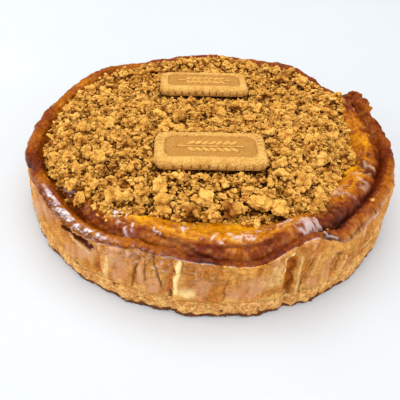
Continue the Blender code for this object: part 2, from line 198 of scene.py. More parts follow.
def cells(points: Array, size: float | Sequence[float], seed: int) -> tuple[Array, Array]:
    """Uneven cells over points.

    Args:
        points: Places, with three numbers along the last axis.
        size: Breadth of the cells, one for all axes or one for each.
        seed: Which cells they are.

    Returns:
        How far each place is from its cell's edge, 0 at the edge, and one random number for each cell.
    """
    scaled = points / np.array(size)
    home = np.floor(scaled).astype(np.int64)
    nearest = np.full(points.shape[:-1], 9.0)
    second = nearest.copy()
    chance = np.zeros(points.shape[:-1])
    for step in itertools.product((-1, 0, 1), repeat=3):
        cell = home + np.array(step)
        middle = cell + np.stack([lattice(cell, seed + axis) for axis in range(3)], axis=-1)
        away = np.linalg.norm(scaled - middle, axis=-1)
        nearer = away < nearest
        second = np.where(nearer, nearest, np.minimum(second, away))
        chance = np.where(nearer, lattice(cell, seed + 5), chance)
        nearest = np.where(nearer, away, nearest)
    return second - nearest, chance


def facing(points: Array) -> Array:
    """Unit directions out of a surface given as closed rings of points (rows, steps, 3)."""
    along = np.roll(points, -1, axis=1) - np.roll(points, 1, axis=1)
    up = np.gradient(points, axis=0)
    out = np.cross(along, up)
    return out / np.maximum(np.linalg.norm(out, axis=-1, keepdims=True), 1e-12)


def front_loaded(steps: int, share: float = 0.5) -> Array:
    """Azimuths round the cake in degrees, closer together at the front by the share."""
    turn = np.linspace(-math.pi, math.pi, steps, endpoint=False)
    return -90 + np.degrees(turn - share * np.sin(turn))


def new_mesh(name: str, points: Array, faces: Array | list, masks: dict[str, Array]) -> bpy.types.Object:
    """Makes a smooth mesh object whose points carry named masks.

    Args:
        name: Name of the piece.
        points: Its points (count, 3).
        faces: Point numbers of each face.
        masks: For each mask name one number per point, or three.

    Returns:
        The new object, linked to the scene.
    """
    mesh = bpy.data.meshes.new(name)
    mesh.from_pydata(points.tolist(), [], faces.tolist() if isinstance(faces, np.ndarray) else faces)
    for mask, values in masks.items():
        if values.ndim == 1:
            numbers = mesh.attributes.new(mask, "FLOAT", "POINT").data
            numbers.foreach_set("value", values.astype(np.float32))
        else:
            shades = np.concatenate([values, np.ones((len(values), 1))], axis=1)
            mesh.attributes.new(mask, "FLOAT_COLOR", "POINT").data.foreach_set(
                "color", shades.astype(np.float32).ravel()
            )
    mesh.shade_smooth()
    piece = bpy.data.objects.new(name, mesh)
    bpy.context.scene.collection.objects.link(piece)
    return piece


def ring_body(name: str, rings: Array, masks: dict[str, Array]) -> bpy.types.Object:
    """A closed body from rings of points, capped by one point below and one on top.

    Args:
        name: Name of the piece.
        rings: Points (rows, steps, 3), from the lowest row up.
        masks: For each mask name an array (rows, steps) or (rows, steps, 3).

    Returns:
        The new object.
    """
    rows, steps = rings.shape[:2]
    middles = [rings[row].mean(axis=0)[None] for row in (0, -1)]
    points = np.concatenate([rings.reshape(-1, 3), *middles])
    index = np.arange(rows * steps).reshape(rows, steps)
    after = np.roll(index, -1, axis=1)
    quads = np.stack([index[:-1], after[:-1], after[1:], index[1:]], axis=-1).reshape(-1, 4).tolist()
    foot = [[int(b), int(a), rows * steps] for a, b in zip(index[0], after[0])]
    crown = [[int(a), int(b), rows * steps + 1] for a, b in zip(index[-1], after[-1])]
    spread = {}
    for mask, values in masks.items():
        flat = values.reshape(rows * steps, -1)
        ends = [values[row].reshape(steps, -1)[:1] for row in (0, -1)]
        both = np.concatenate([flat, *ends])
        spread[mask] = both[:, 0] if values.ndim == 2 else both
    return new_mesh(name, points, quads + foot + crown, spread)


def dress(piece: bpy.types.Object, finish: bpy.types.Material, node: str | None = None) -> None:
    """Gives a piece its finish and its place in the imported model.

    Args:
        piece: The new piece.
        finish: Its material.
        node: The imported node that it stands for, if it stands for one.
    """
    piece.data.materials.append(finish)
    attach(piece, "root")
    if node:
        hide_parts(node)
    LOG.info("%s: %d faces", piece.name, len(piece.data.polygons))


def srgb(red: float, green: float, blue: float) -> Colour:
    """A colour as screens give it, 0 to 255, as linear light."""
    parts = [value / 255 for value in (red, green, blue)]
    light = [value / 12.92 if value <= 0.04045 else ((value + 0.055) / 1.055) ** 2.4 for value in parts]
    return (light[0], light[1], light[2], 1.0)


class NodeSheet:
    """Adds shader nodes to a tree and links them."""

    def __init__(self, tree: bpy.types.NodeTree) -> None:
        """Keeps the tree and empties it."""
        self.tree = tree
        tree.nodes.clear()

    def add(self, kind: str, inputs: dict | None = None, **settings: object) -> bpy.types.Node:
        """Adds one node.

        Args:
            kind: The node's type name.
            inputs: For input names or numbers, a value or the socket that feeds it.
            settings: The node's own settings.

        Returns:
            The new node.
        """
        node = self.tree.nodes.new(kind)
        node.location = (len(self.tree.nodes) * 190, -160 * (len(self.tree.nodes) % 4))
        for name, value in settings.items():
            setattr(node, name, value)
        for name, value in (inputs or {}).items():
            self.feed(node.inputs[name], value)
        return node

    def feed(self, socket: bpy.types.NodeSocket, value: object) -> None:
        """Sets a socket, or links it where the value is a socket."""
        if isinstance(value, bpy.types.NodeSocket):
            self.tree.links.new(value, socket)
        else:
            socket.default_value = value

    def noise(self, place: object, scale: object, detail: float = 3.0, rough_part: float = 0.55) -> object:
        """Noise from 0 to 1 over a place."""
        inputs = {"Vector": place, "Scale": scale, "Detail": detail, "Roughness": rough_part}
        return self.add("ShaderNodeTexNoise", inputs).outputs["Fac"]

    def maths(self, operation: str, first: object, second: object, third: object = 0.0) -> object:
        """One step of arithmetic, whose result isn't held between 0 and 1."""
        inputs = {0: first, 1: second, 2: third}
        return self.add("ShaderNodeMath", inputs, operation=operation).outputs[0]

    def times(self, first: object, second: object) -> object:
        """Two numbers multiplied."""
        return self.maths("MULTIPLY", first, second)

    def plus(self, first: object, second: object) -> object:
        """Two numbers added."""
        return self.maths("ADD", first, second)

    def between(
        self, value: object, low: float, high: float, to_low: object = 0.0, to_high: object = 1.0
    ) -> object:
        """The value eased from the range low to high onto another one."""
        inputs = {"Value": value, "From Min": low, "From Max": high, "To Min": to_low, "To Max": to_high}
        return self.add("ShaderNodeMapRange", inputs, interpolation_type="SMOOTHSTEP").outputs["Result"]

    def blend(self, part: object, first: object, second: object, kind: str = "MIX") -> object:
        """Two colours mixed by a part."""
        node = self.add("ShaderNodeMix", {}, data_type="RGBA", blend_type=kind)
        self.feed(node.inputs["Factor"], part)
        self.feed(node.inputs["A"], first)
        self.feed(node.inputs["B"], second)
        return node.outputs["Result"]

    def ramp(self, part: object, stops: Sequence[tuple[float, Colour]]) -> object:
        """A colour read from stops along 0 to 1."""
        node = self.add("ShaderNodeValToRGB", {"Fac": part})
        band = node.color_ramp.elements
        while len(band) < len(stops):
            band.new(0.5)
        for element, (place, colour) in zip(band, stops):
            element.position = place
            element.color = colour
        return node.outputs["Color"]

    def mask(self, name: str) -> object:
        """The number that the mesh carries under that name."""
        return self.add("ShaderNodeAttribute", {}, attribute_name=name).outputs["Fac"]

    def masks(self, name: str) -> list[object]:
        """The three numbers that the mesh carries together under that name."""
        colour = self.add("ShaderNodeAttribute", {}, attribute_name=name).outputs["Color"]
        return list(self.add("ShaderNodeSeparateColor", {"Color": colour}).outputs)


def new_group(name: str, scale: str, usual: float, outputs: Sequence[str]) -> bpy.types.NodeTree:
    """An empty shader node group that takes a place and a scale.

    Args:
        name: Its name.
        scale: Name of the scale.
        usual: The scale's default.
        outputs: Names of its outputs, all of them single numbers.

    Returns:
        The group's tree, with its sockets made.
    """
    tree = bpy.data.node_groups.new(name, "ShaderNodeTree")
    tree.interface.new_socket("Vector", in_out="INPUT", socket_type="NodeSocketVector")
    tree.interface.new_socket(scale, in_out="INPUT", socket_type="NodeSocketFloat").default_value = usual
    for label in outputs:
        tree.interface.new_socket(label, in_out="OUTPUT", socket_type="NodeSocketFloat")
    return tree


class Effects:
    """The shader node groups that several finishes share, each built once."""

    def __init__(self) -> None:
        """Builds the groups."""
        self.sandy = self.build_sandy()
        self.mottle = self.build_mottle()

    def build_sandy(self) -> bpy.types.NodeTree:
        """Baked crumb as seen close to: a grainy tone, dark specks and fine relief."""
        tree = new_group("sandy_grain", "Grain Scale", 900.0, ["Tone", "Speck", "Height"])
        sheet = NodeSheet(tree)
        place, scale = sheet.add("NodeGroupInput").outputs[:2]
        fine = sheet.noise(place, scale, 4.0, 0.6)
        wide = sheet.noise(place, sheet.times(scale, 0.28), 3.0, 0.5)
        grains = sheet.add("ShaderNodeTexVoronoi", {"Vector": place, "Scale": scale})
        tone = sheet.plus(sheet.times(fine, 0.6), sheet.times(wide, 0.4))
        grain = sheet.between(grains.outputs["Distance"], 0.15, 0.75, 1.0, 0.0)
        height = sheet.plus(sheet.times(grain, 0.4), sheet.times(fine, 0.9))
        speck = sheet.between(sheet.noise(place, sheet.times(scale, 0.55), 2.0, 0.7), 0.60, 0.74)
        sheet.add("NodeGroupOutput", {"Tone": tone, "Speck": speck, "Height": height})
        return tree

    def build_mottle(self) -> bpy.types.NodeTree:
        """Uneven browning: broad cloudy patches, finer ones, and streaks that run up."""
        tree = new_group("uneven_browning", "Patch Scale", 60.0, ["Patch", "Fine", "Streak"])
        sheet = NodeSheet(tree)
        place, scale = sheet.add("NodeGroupInput").outputs[:2]
        patch = sheet.noise(place, scale, 5.0, 0.6)
        fine_scale = sheet.times(scale, 7.0)
        fine = sheet.noise(place, fine_scale, 4.0, 0.65)
        squeeze = sheet.add("ShaderNodeMapping", {"Vector": place, "Scale": (1.0, 1.0, 0.16)})
        streak = sheet.noise(squeeze.outputs["Vector"], sheet.times(fine_scale, 0.9), 3.0, 0.6)
        sheet.add("NodeGroupOutput", {"Patch": patch, "Fine": fine, "Streak": streak})
        return tree


def new_finish(name: str) -> tuple[bpy.types.Material, NodeSheet, object]:
    """A material with an empty sheet.

    Args:
        name: Its name.

    Returns:
        The material, its sheet, and the piece's own coordinates.
    """
    material = bpy.data.materials.new(name)
    material.use_nodes = True
    sheet = NodeSheet(material.node_tree)
    place = sheet.add("ShaderNodeTexCoord").outputs["Object"]
    return material, sheet, place


def close_finish(sheet: NodeSheet, inputs: dict[str, object], height: object, depth: float) -> None:
    """Ends a finish with its shader.

    Args:
        sheet: The material's sheet.
        inputs: What the shader's inputs take.
        height: Relief from 0 to 1.
        depth: Depth of the relief in metres.
    """
    relief = sheet.add("ShaderNodeBump", {"Height": height, "Strength": 1.0, "Distance": depth})
    shader = sheet.add("ShaderNodeBsdfPrincipled", {**inputs, "Normal": relief.outputs["Normal"]})
    sheet.add("ShaderNodeOutputMaterial", {"Surface": shader.outputs["BSDF"]})


def use_group(sheet: NodeSheet, group: bpy.types.NodeTree, place: object, scale: float) -> list[object]:
    """Places a shared group in a material with a scale of its own, and gives its outputs."""
    return list(sheet.add("ShaderNodeGroup", {0: place, 1: scale}, node_tree=group).outputs)


@dataclass(frozen=True)
class BurntCheeseFinish:
    """Baked cheese: matte ochre and mauve-beige sides, and a glossy skin from amber to nearly black.

    The mesh gives three masks. "side" holds pale marks, which on raised ridges are painted highlight, and
    smooth and amber marks. "crust" holds how far the place is skin, how dark it is burnt and how strong the
    painted shade in its cracks and hollows is. "bloom" holds pale marks on the skin's ridges that are
    partly painted sheen, the sandy crumb that creeps up from the base, and painted white glints on the rim
    and skin.
    """

    effects: Effects
    ochre: Colour = srgb(226, 164, 82)
    tan: Colour = srgb(192, 122, 50)
    smooth: Colour = srgb(208, 154, 112)
    pale: Colour = srgb(255, 222, 150)
    amber: Colour = srgb(190, 104, 24)
    # Painted shade: the colour laid in cracks, tears, the moat and creases
    crevice_shade: Colour = srgb(76, 28, 4)
    # Pale marks on ridge tops, partly painted sheen
    film_and_sheen: Colour = srgb(222, 170, 98)
    # Painted highlight: the white of glints on the rim and the skin
    painted_glint: Colour = srgb(222, 210, 212)
    sand: Colour = srgb(224, 166, 88)
    skin: tuple[tuple[float, Colour], ...] = (
        (0.0, srgb(222, 160, 14)),
        (0.22, srgb(196, 124, 6)),
        (0.45, srgb(156, 84, 3)),
        (0.68, srgb(114, 44, 2)),
        (0.88, srgb(80, 24, 0)),
        (1.0, srgb(44, 13, 0)),
    )
    patch_scale: float = 55.0
    grain_scale: float = 1100.0
    relief: float = 0.00055

    def build(self) -> bpy.types.Material:
        """Makes the material."""
        material, sheet, place = new_finish("burnt_cheese")
        patch, fine, streak = use_group(sheet, self.effects.mottle, place, self.patch_scale)
        tone, _, grit = use_group(sheet, self.effects.sandy, place, self.grain_scale)
        pale, smooth, amber = sheet.masks("side")
        on_top, burnt, crevice_shade = sheet.masks("crust")
        film_and_sheen, sand, painted_glint = sheet.masks("bloom")
        cloudy = sheet.between(patch, 0.38, 0.62)
        streaky = sheet.between(streak, 0.36, 0.64)
        base = sheet.blend(cloudy, self.ochre, self.tan)
        base = sheet.blend(sheet.times(streaky, 0.30), base, self.amber)
        base = sheet.blend(sheet.times(smooth, 0.80), base, self.smooth)
        base = sheet.blend(amber, base, self.amber)
        # Pale patches, and painted highlights on raised ridges
        base = sheet.blend(pale, base, self.pale)
        base = sheet.blend(sand, base, self.sand)
        grain = sheet.between(tone, 0.34, 0.66, 0.62, 1.20)
        grain = sheet.plus(sheet.times(sheet.plus(grain, -1.0), self.grainy(sheet, smooth, pale)), 1.0)
        base = sheet.blend(1.0, base, self.grey(sheet, grain), "MULTIPLY")
        burn = sheet.plus(burnt, sheet.between(fine, 0.3, 0.7, -0.12, 0.12))
        burn = sheet.plus(burn, sheet.between(patch, 0.3, 0.7, -0.08, 0.08))
        skin = sheet.ramp(burn, self.skin)
        edge = sheet.plus(on_top, sheet.between(fine, 0.3, 0.7, -0.2, 0.2))
        is_skin = sheet.between(edge, 0.38, 0.62)
        colour = sheet.blend(is_skin, base, skin)
        # Pale marks that are partly painted sheen
        colour = sheet.blend(film_and_sheen, colour, self.film_and_sheen)
        # Painted highlight: white glints
        colour = sheet.blend(painted_glint, colour, self.painted_glint)
        # Painted shade in cracks and hollows
        colour = sheet.blend(crevice_shade, colour, self.crevice_shade)
        rough_side = sheet.between(smooth, 0.0, 1.0, 0.70, 0.48)
        roughness = sheet.blend(is_skin, self.grey(sheet, rough_side), (0.36, 0.36, 0.36, 1.0))
        # The coat is glossier where sheen and glints are painted
        sheen_and_glints = sheet.maths("MAXIMUM", film_and_sheen, painted_glint)
        coat = sheet.times(is_skin, sheet.between(sheen_and_glints, 0.0, 0.8, 0.07, 0.30))
        height = sheet.times(grit, self.grainy(sheet, smooth, pale))
        height = sheet.times(height, sheet.between(is_skin, 0.0, 1.0, 1.0, 0.25))
        height = sheet.plus(height, sheet.times(fine, 0.8))
        inputs = {
            "Base Color": colour,
            "Roughness": roughness,
            "Coat Weight": coat,
            "Coat Roughness": 0.13,
            "Specular IOR Level": 0.06,
        }
        close_finish(sheet, inputs, height, self.relief)
        return material

    @staticmethod
    def grainy(sheet: NodeSheet, smooth: object, pale: object) -> object:
        """How much of the grain is left, less where the side is smooth or pale."""
        bare = sheet.maths("MAXIMUM", smooth, pale)
        return sheet.between(bare, 0.0, 1.0, 1.0, 0.30)

    @staticmethod
    def grey(sheet: NodeSheet, value: object) -> object:
        """A number as a grey."""
        return sheet.add("ShaderNodeCombineColor", {0: value, 1: value, 2: value}).outputs["Color"]


@dataclass(frozen=True)
class BakedBaseFinish:
    """Pressed and baked biscuit: sandy ochre, with painted shade in its pits, and toasted at the bottom
    edge.
    """

    effects: Effects
    light: Colour = srgb(232, 178, 104)
    deep: Colour = srgb(190, 126, 58)
    toast: Colour = srgb(104, 54, 20)
    # Painted shade in the pits, also the colour of the dark specks
    speck_and_pit_shade: Colour = srgb(74, 32, 8)
    grain_scale: float = 620.0
    patch_scale: float = 70.0
    relief: float = 0.00045

    def build(self) -> bpy.types.Material:
        """Makes the material."""
        material, sheet, place = new_finish("baked_base")
        grainy, speck, grit = use_group(sheet, self.effects.sandy, place, self.grain_scale)
        patch, fine, _ = use_group(sheet, self.effects.mottle, place, self.patch_scale)
        toasted, pit_shade, _ = sheet.masks("bake")
        tone = sheet.plus(sheet.between(grainy, 0.36, 0.64), patch)
        colour = sheet.blend(sheet.between(tone, 0.6, 1.4), self.deep, self.light)
        browned = sheet.plus(toasted, sheet.between(fine, 0.3, 0.7, -0.3, 0.3))
        colour = sheet.blend(sheet.between(browned, 0.3, 0.8), colour, self.toast)
        colour = sheet.blend(sheet.times(speck, 0.45), colour, self.speck_and_pit_shade)
        # Painted shade in the pits
        colour = sheet.blend(pit_shade, colour, self.speck_and_pit_shade)
        inputs = {"Base Color": colour, "Roughness": 0.82, "Specular IOR Level": 0.25}
        close_finish(sheet, inputs, grit, self.relief)
        return material


@dataclass(frozen=True)
class CrumbFinish:
    """Broken biscuit: each crumb has its own tone, with a sandy grain and darker specks.

    The mesh gives two masks. "tone" holds how pale the place is, with painted shade in it: darker in each
    crumb's hollows and on its underside, and dark all over the bed. "bed" is 1 on the bed under the loose
    crumbs, which is granules with painted shade in the gaps between them.
    """

    effects: Effects
    light: Colour = srgb(236, 184, 92)
    middle: Colour = srgb(202, 142, 54)
    deep: Colour = srgb(142, 80, 18)
    # Painted shade: the dark of the bed between the loose crumbs
    bed: Colour = srgb(56, 25, 2)
    speck: Colour = srgb(112, 56, 8)
    grain_scale: float = 780.0
    granule_scale: float = 480.0
    relief: float = 0.0008

    def build(self) -> bpy.types.Material:
        """Makes the material."""
        material, sheet, place = new_finish("crumb")
        grainy, speck, grit = use_group(sheet, self.effects.sandy, place, self.grain_scale)
        grains = sheet.add("ShaderNodeTexVoronoi", {"Vector": place, "Scale": self.granule_scale})
        # Painted shade between the bed's granules
        granule = sheet.between(grains.outputs["Distance"], 0.20, 0.62, 1.0, 0.0)
        is_bed = sheet.mask("bed")
        loose = sheet.mask("tone")
        on_bed = sheet.maths("MULTIPLY_ADD", granule, 0.50, loose)
        either = sheet.add("ShaderNodeMix", {"Factor": is_bed, "A": loose, "B": on_bed})
        tone = either.outputs["Result"]
        stops = ((0.0, self.bed), (0.2, self.deep), (0.55, self.middle), (1.0, self.light))
        colour = sheet.ramp(tone, stops)
        grain = sheet.times(sheet.between(grainy, 0.38, 0.62), 0.5)
        colour = sheet.blend(sheet.times(grain, sheet.between(tone, 0.1, 0.5)), colour, self.light)
        colour = sheet.blend(sheet.times(speck, 0.5), colour, self.speck)
        height = sheet.maths("MULTIPLY_ADD", sheet.times(is_bed, granule), 1.6, grit)
        inputs = {"Base Color": colour, "Roughness": 0.88, "Specular IOR Level": 0.12}
        close_finish(sheet, inputs, height, self.relief)
        return material


@dataclass(frozen=True)
class BiscuitFinish:
    """A pressed spiced biscuit: even sandy ochre, a little darker in its panel, with painted shade in its
    notches, grooves and round its motif.
    """

    effects: Effects
    light: Colour = srgb(240, 190, 102)
    deep: Colour = srgb(216, 158, 72)
    panel: Colour = srgb(184, 128, 50)
    speck: Colour = srgb(164, 100, 34)
    # Painted shade in the notches, grooves, round the motif and at the panel's foot
    crease: Colour = srgb(120, 66, 18)
    grain_scale: float = 800.0
    patch_scale: float = 90.0
    relief: float = 0.0009

    def build(self) -> bpy.types.Material:
        """Makes the material."""
        material, sheet, place = new_finish("biscuit")
        grainy, speck, grit = use_group(sheet, self.effects.sandy, place, self.grain_scale)
        patch, _, _ = use_group(sheet, self.effects.mottle, place, self.patch_scale)
        sunk = sheet.mask("sunk")
        pressed = sheet.mask("pressed")
        grain = sheet.plus(sheet.between(grainy, 0.36, 0.64), patch)
        colour = sheet.blend(sheet.between(grain, 0.5, 1.5), self.deep, self.light)
        colour = sheet.blend(sheet.times(sunk, 0.80), colour, self.panel)
        # Painted shade in the pressed lines
        colour = sheet.blend(pressed, colour, self.crease)
        colour = sheet.blend(sheet.times(speck, 0.45), colour, self.speck)
        inputs = {"Base Color": colour, "Roughness": 0.8, "Specular IOR Level": 0.25}
        close_finish(sheet, inputs, grit, self.relief)
        return material


@dataclass(frozen=True)
class CakeForm:
    """The cake's measures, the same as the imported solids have, and the curves that follow from them."""

    foot_radius: float = 0.1186
    base_thickness: float = 0.0107
    gap: float = 0.0003
    rim_radius: float = 0.1160
    rim_height: float = 0.038
    side_swell: float = 0.0006
    side_wander: float = 0.0005
    side_setback: float = 0.0004
    base_ragged: float = 0.0007
    base_crease_share: float = 0.7
    rim_line: Stations = (
        (-165, 0.0365), (-138, 0.0390), (-124, 0.0352), (-105, 0.0400), (-90, 0.0372), (-77, 0.0366),
        (-65, 0.0462), (-52, 0.0300), (-38, 0.0315), (-15, 0.0372), (8, 0.0385), (14, 0.0405), (20, 0.0445),
        (26, 0.0460), (31, 0.0375), (38, 0.0352), (54, 0.0408), (75, 0.0390), (100, 0.0382), (120, 0.0365),
        (143, 0.0408), (166, 0.0345),
    )
    rim_shoulder: Stations = (
        (-150, 0.0050), (-110, 0.0036), (-80, 0.0022), (-65, 0.0030), (-47, 0.0082), (-34, 0.0076),
        (-15, 0.0050), (30, 0.0032), (90, 0.0045), (150, 0.0056),
    )
    crest_above_edge: Stations = (
        (-140, 0.0008), (-90, 0.0004), (-65, 0.0004), (-47, 0.0085), (-34, 0.0070), (-15, 0.0020),
        (60, 0.0006),
    )
    moat_in: Stations = (
        (-150, 0.0050), (-120, 0.0046), (-92, 0.0044), (-62, 0.0058), (-45, 0.0052), (-20, 0.0056),
        (10, 0.0060), (90, 0.0062), (180, 0.0062),
    )
    moat_width: float = 0.0026
    moat_depth: Stations = (
        (-150, 0.0056), (-120, 0.0060), (-90, 0.0050), (-68, 0.0070), (-50, 0.0100), (-25, 0.0080),
        (0, 0.0050), (90, 0.0030), (160, 0.0046),
    )
    fold_in: float = 0.0160
    fold_width: float = 0.0070
    fold_height: float = 0.0034
    fold_wander: float = 0.0016
    skin_fall: float = 0.0300
    skin_height_inside: float = 0.0335
    front_creases: Sequence[tuple[float, float, float, float, float]] = (
        (-118.0, 0.010, 0.030, 0.0028, 0.0012),
        (-107.5, 0.009, 0.041, 0.0022, 0.0013),
        (-98.6, 0.000, 0.040, 0.0024, 0.0018),
        (-69.2, 0.004, 0.041, 0.0026, 0.0028),
        (-64.5, 0.008, 0.036, 0.0022, 0.0016),
        (-56.0, 0.010, 0.040, 0.0030, 0.0020),
    )
    front_span: tuple[float, float] = (-130, -45)
    crease_spacing: float = 11.0
    crease_ease: float = 0.004
    seed: int = 7
    heap_stations: Stations = (
        (90, 0.1070), (120, 0.1010), (150, 0.0995), (170, 0.1050), (-170, 0.1062), (-150, 0.1068),
        (-137, 0.1068), (-127, 0.1010), (-119, 0.1020), (-111, 0.0905), (-100, 0.0895), (-86, 0.0858),
        (-70, 0.0900), (-62, 0.0935), (-51, 0.0965), (-40, 0.0905), (-28, 0.0875), (-17, 0.0925),
        (2, 0.0905), (15, 0.0945), (30, 0.1060), (52, 0.1050),
    )
    front_lumps: Sequence[tuple[float, float, float]] = (
        (-0.0503, -0.0770, 0.0125), (-0.0245, -0.0775, 0.0110), (-0.0260, -0.0680, 0.0100),
        (-0.0090, -0.0825, 0.0105), (-0.0020, -0.0725, 0.0108), (0.0015, -0.0815, 0.0078),
        (0.0120, -0.0785, 0.0118), (0.0263, -0.0745, 0.0130), (0.0373, -0.0765, 0.0115),
        (0.0514, -0.0560, 0.0108), (0.0560, -0.0735, 0.0090), (-0.0735, -0.0705, 0.0085),
        (-0.0905, -0.0480, 0.0085), (0.0815, -0.0280, 0.0105), (0.0243, 0.0047, 0.0095),
        (-0.0783, 0.0400, 0.0085), (-0.0680, -0.0790, 0.0072), (0.0690, -0.0450, 0.0092),
    )
    reach_wander: float = 0.0012
    reach_short_of_crest: float = 0.0015
    heap_fall_from: float = 0.70
    heap_edge_height: float = 0.0032
    heap_bump: float = 0.0030
    heap_bump_size: float = 0.011
    heap_ridge: Stations = (
        (-0.120, 0.0410), (-0.041, 0.0464), (0.010, 0.0430), (0.054, 0.0393), (0.120, 0.0400),
    )
    biscuit_length: float = 0.0640
    biscuit_width: float = 0.0310
    biscuit_height: float = 0.0065
    seat_margin: float = 0.011
    seat_fade: float = 0.006
    biscuits: Sequence[tuple[str, tuple[float, float, float], float, float]] = (
        ("biscuit_front", (-0.0010, -0.0413, 0.0532), 0.076, 0.030),
        ("biscuit_back", (-0.0078, 0.0540, 0.0461), 0.088, -0.042),
    )

    @property
    def floor(self) -> float:
        """Height of the cheesecake's underside."""
        return self.base_thickness + self.gap

    def creases(self) -> list[tuple[float, float, float, float, float]]:
        """The creases seen at the front, and the same kind all round the rest of the side."""
        rule = random.Random(self.seed)
        found = list(self.front_creases)
        azimuth = self.front_span[1] + self.crease_spacing
        while azimuth < self.front_span[0] + 360 - self.crease_spacing / 2:
            low = rule.uniform(0.004, 0.014)
            high = rule.uniform(0.028, 0.040)
            found.append((azimuth, low, high, rule.uniform(0.0022, 0.0032), rule.uniform(0.0008, 0.0020)))
            azimuth += self.crease_spacing * rule.uniform(0.7, 1.3)
        return found

    def crease_depth(self, azimuth: Array, height: Array) -> Array:
        """How far the side is pressed in at each azimuth and height."""
        depth = np.zeros(np.broadcast(azimuth, height).shape)
        for middle, low, high, width, deepest in self.creases():
            along = ease(height, low, low + self.crease_ease)
            along = along * ease(-height, -high, self.crease_ease - high)
            away = np.radians(turn_between(azimuth, middle)) * self.rim_radius
            depth = depth + deepest * along * hump(away, width)
        return depth

    def side_radius(self, azimuth: Array, height: Array) -> Array:
        """Radius of the cake's side, which leans in and swells a little."""
        part = np.clip((height - self.floor) / (self.rim_height - self.floor), 0, 1)
        foot = self.foot_radius - self.side_setback
        lean = foot + (self.rim_radius - foot) * part + self.side_swell * np.sin(np.pi * part)
        return lean + self.side_wander * wander(azimuth, 5, 0.7) - self.crease_depth(azimuth, height)

    def rim_edge(self, azimuth: Array) -> Array:
        """Height where the side turns over into the rim."""
        return around(self.rim_line, azimuth) - around(self.rim_shoulder, azimuth) * 0.5

    def crest_radius(self, azimuth: Array) -> Array:
        """Radius of the rim's highest line."""
        return self.side_radius(azimuth, self.rim_edge(azimuth)) - around(self.rim_shoulder, azimuth)

    def crest_height(self, azimuth: Array) -> Array:
        """Height of the rim's highest line."""
        return around(self.rim_line, azimuth) + around(self.crest_above_edge, azimuth)

    def skin_height(self, azimuth: Array, radius: Array) -> Array:
        """Height of the burnt top at a radius inside the crest."""
        crest = self.crest_height(azimuth)
        inward = self.crest_radius(azimuth) - radius
        fold_at = self.fold_in + self.fold_wander * wander(azimuth, 4, 1.9)
        level = crest + (self.skin_height_inside - crest) * ease(inward, 0, self.skin_fall)
        moat_in = around(self.moat_in, azimuth)
        moat = around(self.moat_depth, azimuth) * hump(inward - moat_in, self.moat_width)
        moat = moat * ease(inward / moat_in, 0, 0.5)
        return level - moat + self.fold_height * hump(inward - fold_at, self.fold_width)

    def heap_reach(self, azimuth: Array) -> Array:
        """Radius at which the crumbs end, never past the rim's crest."""
        reach = around(self.heap_stations, azimuth) + self.reach_wander * wander(azimuth, 9, 0.4)
        return np.minimum(reach, self.crest_radius(azimuth) - self.reach_short_of_crest)

    def biscuit_frame(self, number: int) -> Matrix:
        """Matrix that puts a biscuit's own space, with its underside at z = 0, in its place."""
        _, middle, turn, tilt = self.biscuits[number]
        lie = Matrix.Translation(Vector(middle)) @ Matrix.Rotation(turn, 4, "Z")
        lie = lie @ Matrix.Rotation(tilt, 4, "X")
        return lie @ Matrix.Translation((0, 0, -self.biscuit_height))

    def seat_height(self, x: Array, y: Array, height: Array) -> Array:
        """The heap's height, flattened where a biscuit rests on it."""
        for number, (_, middle, turn, _) in enumerate(self.biscuits):
            seat = self.biscuit_frame(number)
            across = math.cos(turn) * (x - middle[0]) + math.sin(turn) * (y - middle[1])
            along = math.cos(turn) * (y - middle[1]) - math.sin(turn) * (x - middle[0])
            normal = seat.to_3x3() @ Vector((0, 0, 1))
            foot = seat.translation
            plane = foot.z - (normal.x * (x - foot.x) + normal.y * (y - foot.y)) / normal.z - self.gap
            past = np.maximum(
                np.abs(across) - self.biscuit_length / 2 - self.seat_margin,
                np.abs(along) - self.biscuit_width / 2 - self.seat_margin,
            )
            height = plane + (height - plane) * ease(past, 0, self.seat_fade)
        return height

    def heap_top(self, azimuth: Array, part: Array) -> Array:
        """Height of the bare heap at a part of its reach."""
        radius = self.heap_reach(azimuth) * part
        x, y, _ = np.moveaxis(polar(azimuth, radius, 0.0), -1, 0)
        ridge = np.array(self.heap_ridge)
        full = np.interp(y, ridge[:, 0], ridge[:, 1])
        size = self.heap_bump_size
        bumps = [noise.noise(Vector((px, py, 0)) / size) for px, py in zip(x.ravel(), y.ravel())]
        full = self.seat_height(x, y, full + self.heap_bump * np.array(bumps).reshape(x.shape))
        edge = self.skin_height(azimuth, radius) + self.heap_edge_height
        return edge + (full - edge) * (1 - ease(part, self.heap_fall_from, 1.0))


class Tint(Enum):
    """What a mark on the side is."""

    # A pale patch, or a painted highlight on a raised ridge
    PALE_AND_HIGHLIGHT = 0
    SMOOTH = 1
    AMBER = 2
    # Painted shade in a crease or tear
    SHADED_CREASE = 3


@dataclass(frozen=True)
class Mark:
    """A crease, ridge or patch on the side, from one (azimuth, height) to another."""

    tint: Tint
    start: tuple[float, float]
    end: tuple[float, float]
    width: float
    sunk: float = 0.0
    strength: float = 1.0

    def cover(self, azimuth: Array, height: Array) -> Array:
        """How far the mark covers each place, from 0 to 1."""
        across = np.radians(turn_between(azimuth, self.start[0])) * MEAN_RADIUS
        up = height - self.start[1]
        run = math.radians(float(turn_between(np.array(self.end[0]), self.start[0]))) * MEAN_RADIUS
        rise = self.end[1] - self.start[1]
        along = np.clip((across * run + up * rise) / (run * run + rise * rise), 0, 1)
        return np.exp(-((np.hypot(across - along * run, up - along * rise) / self.width) ** 4))


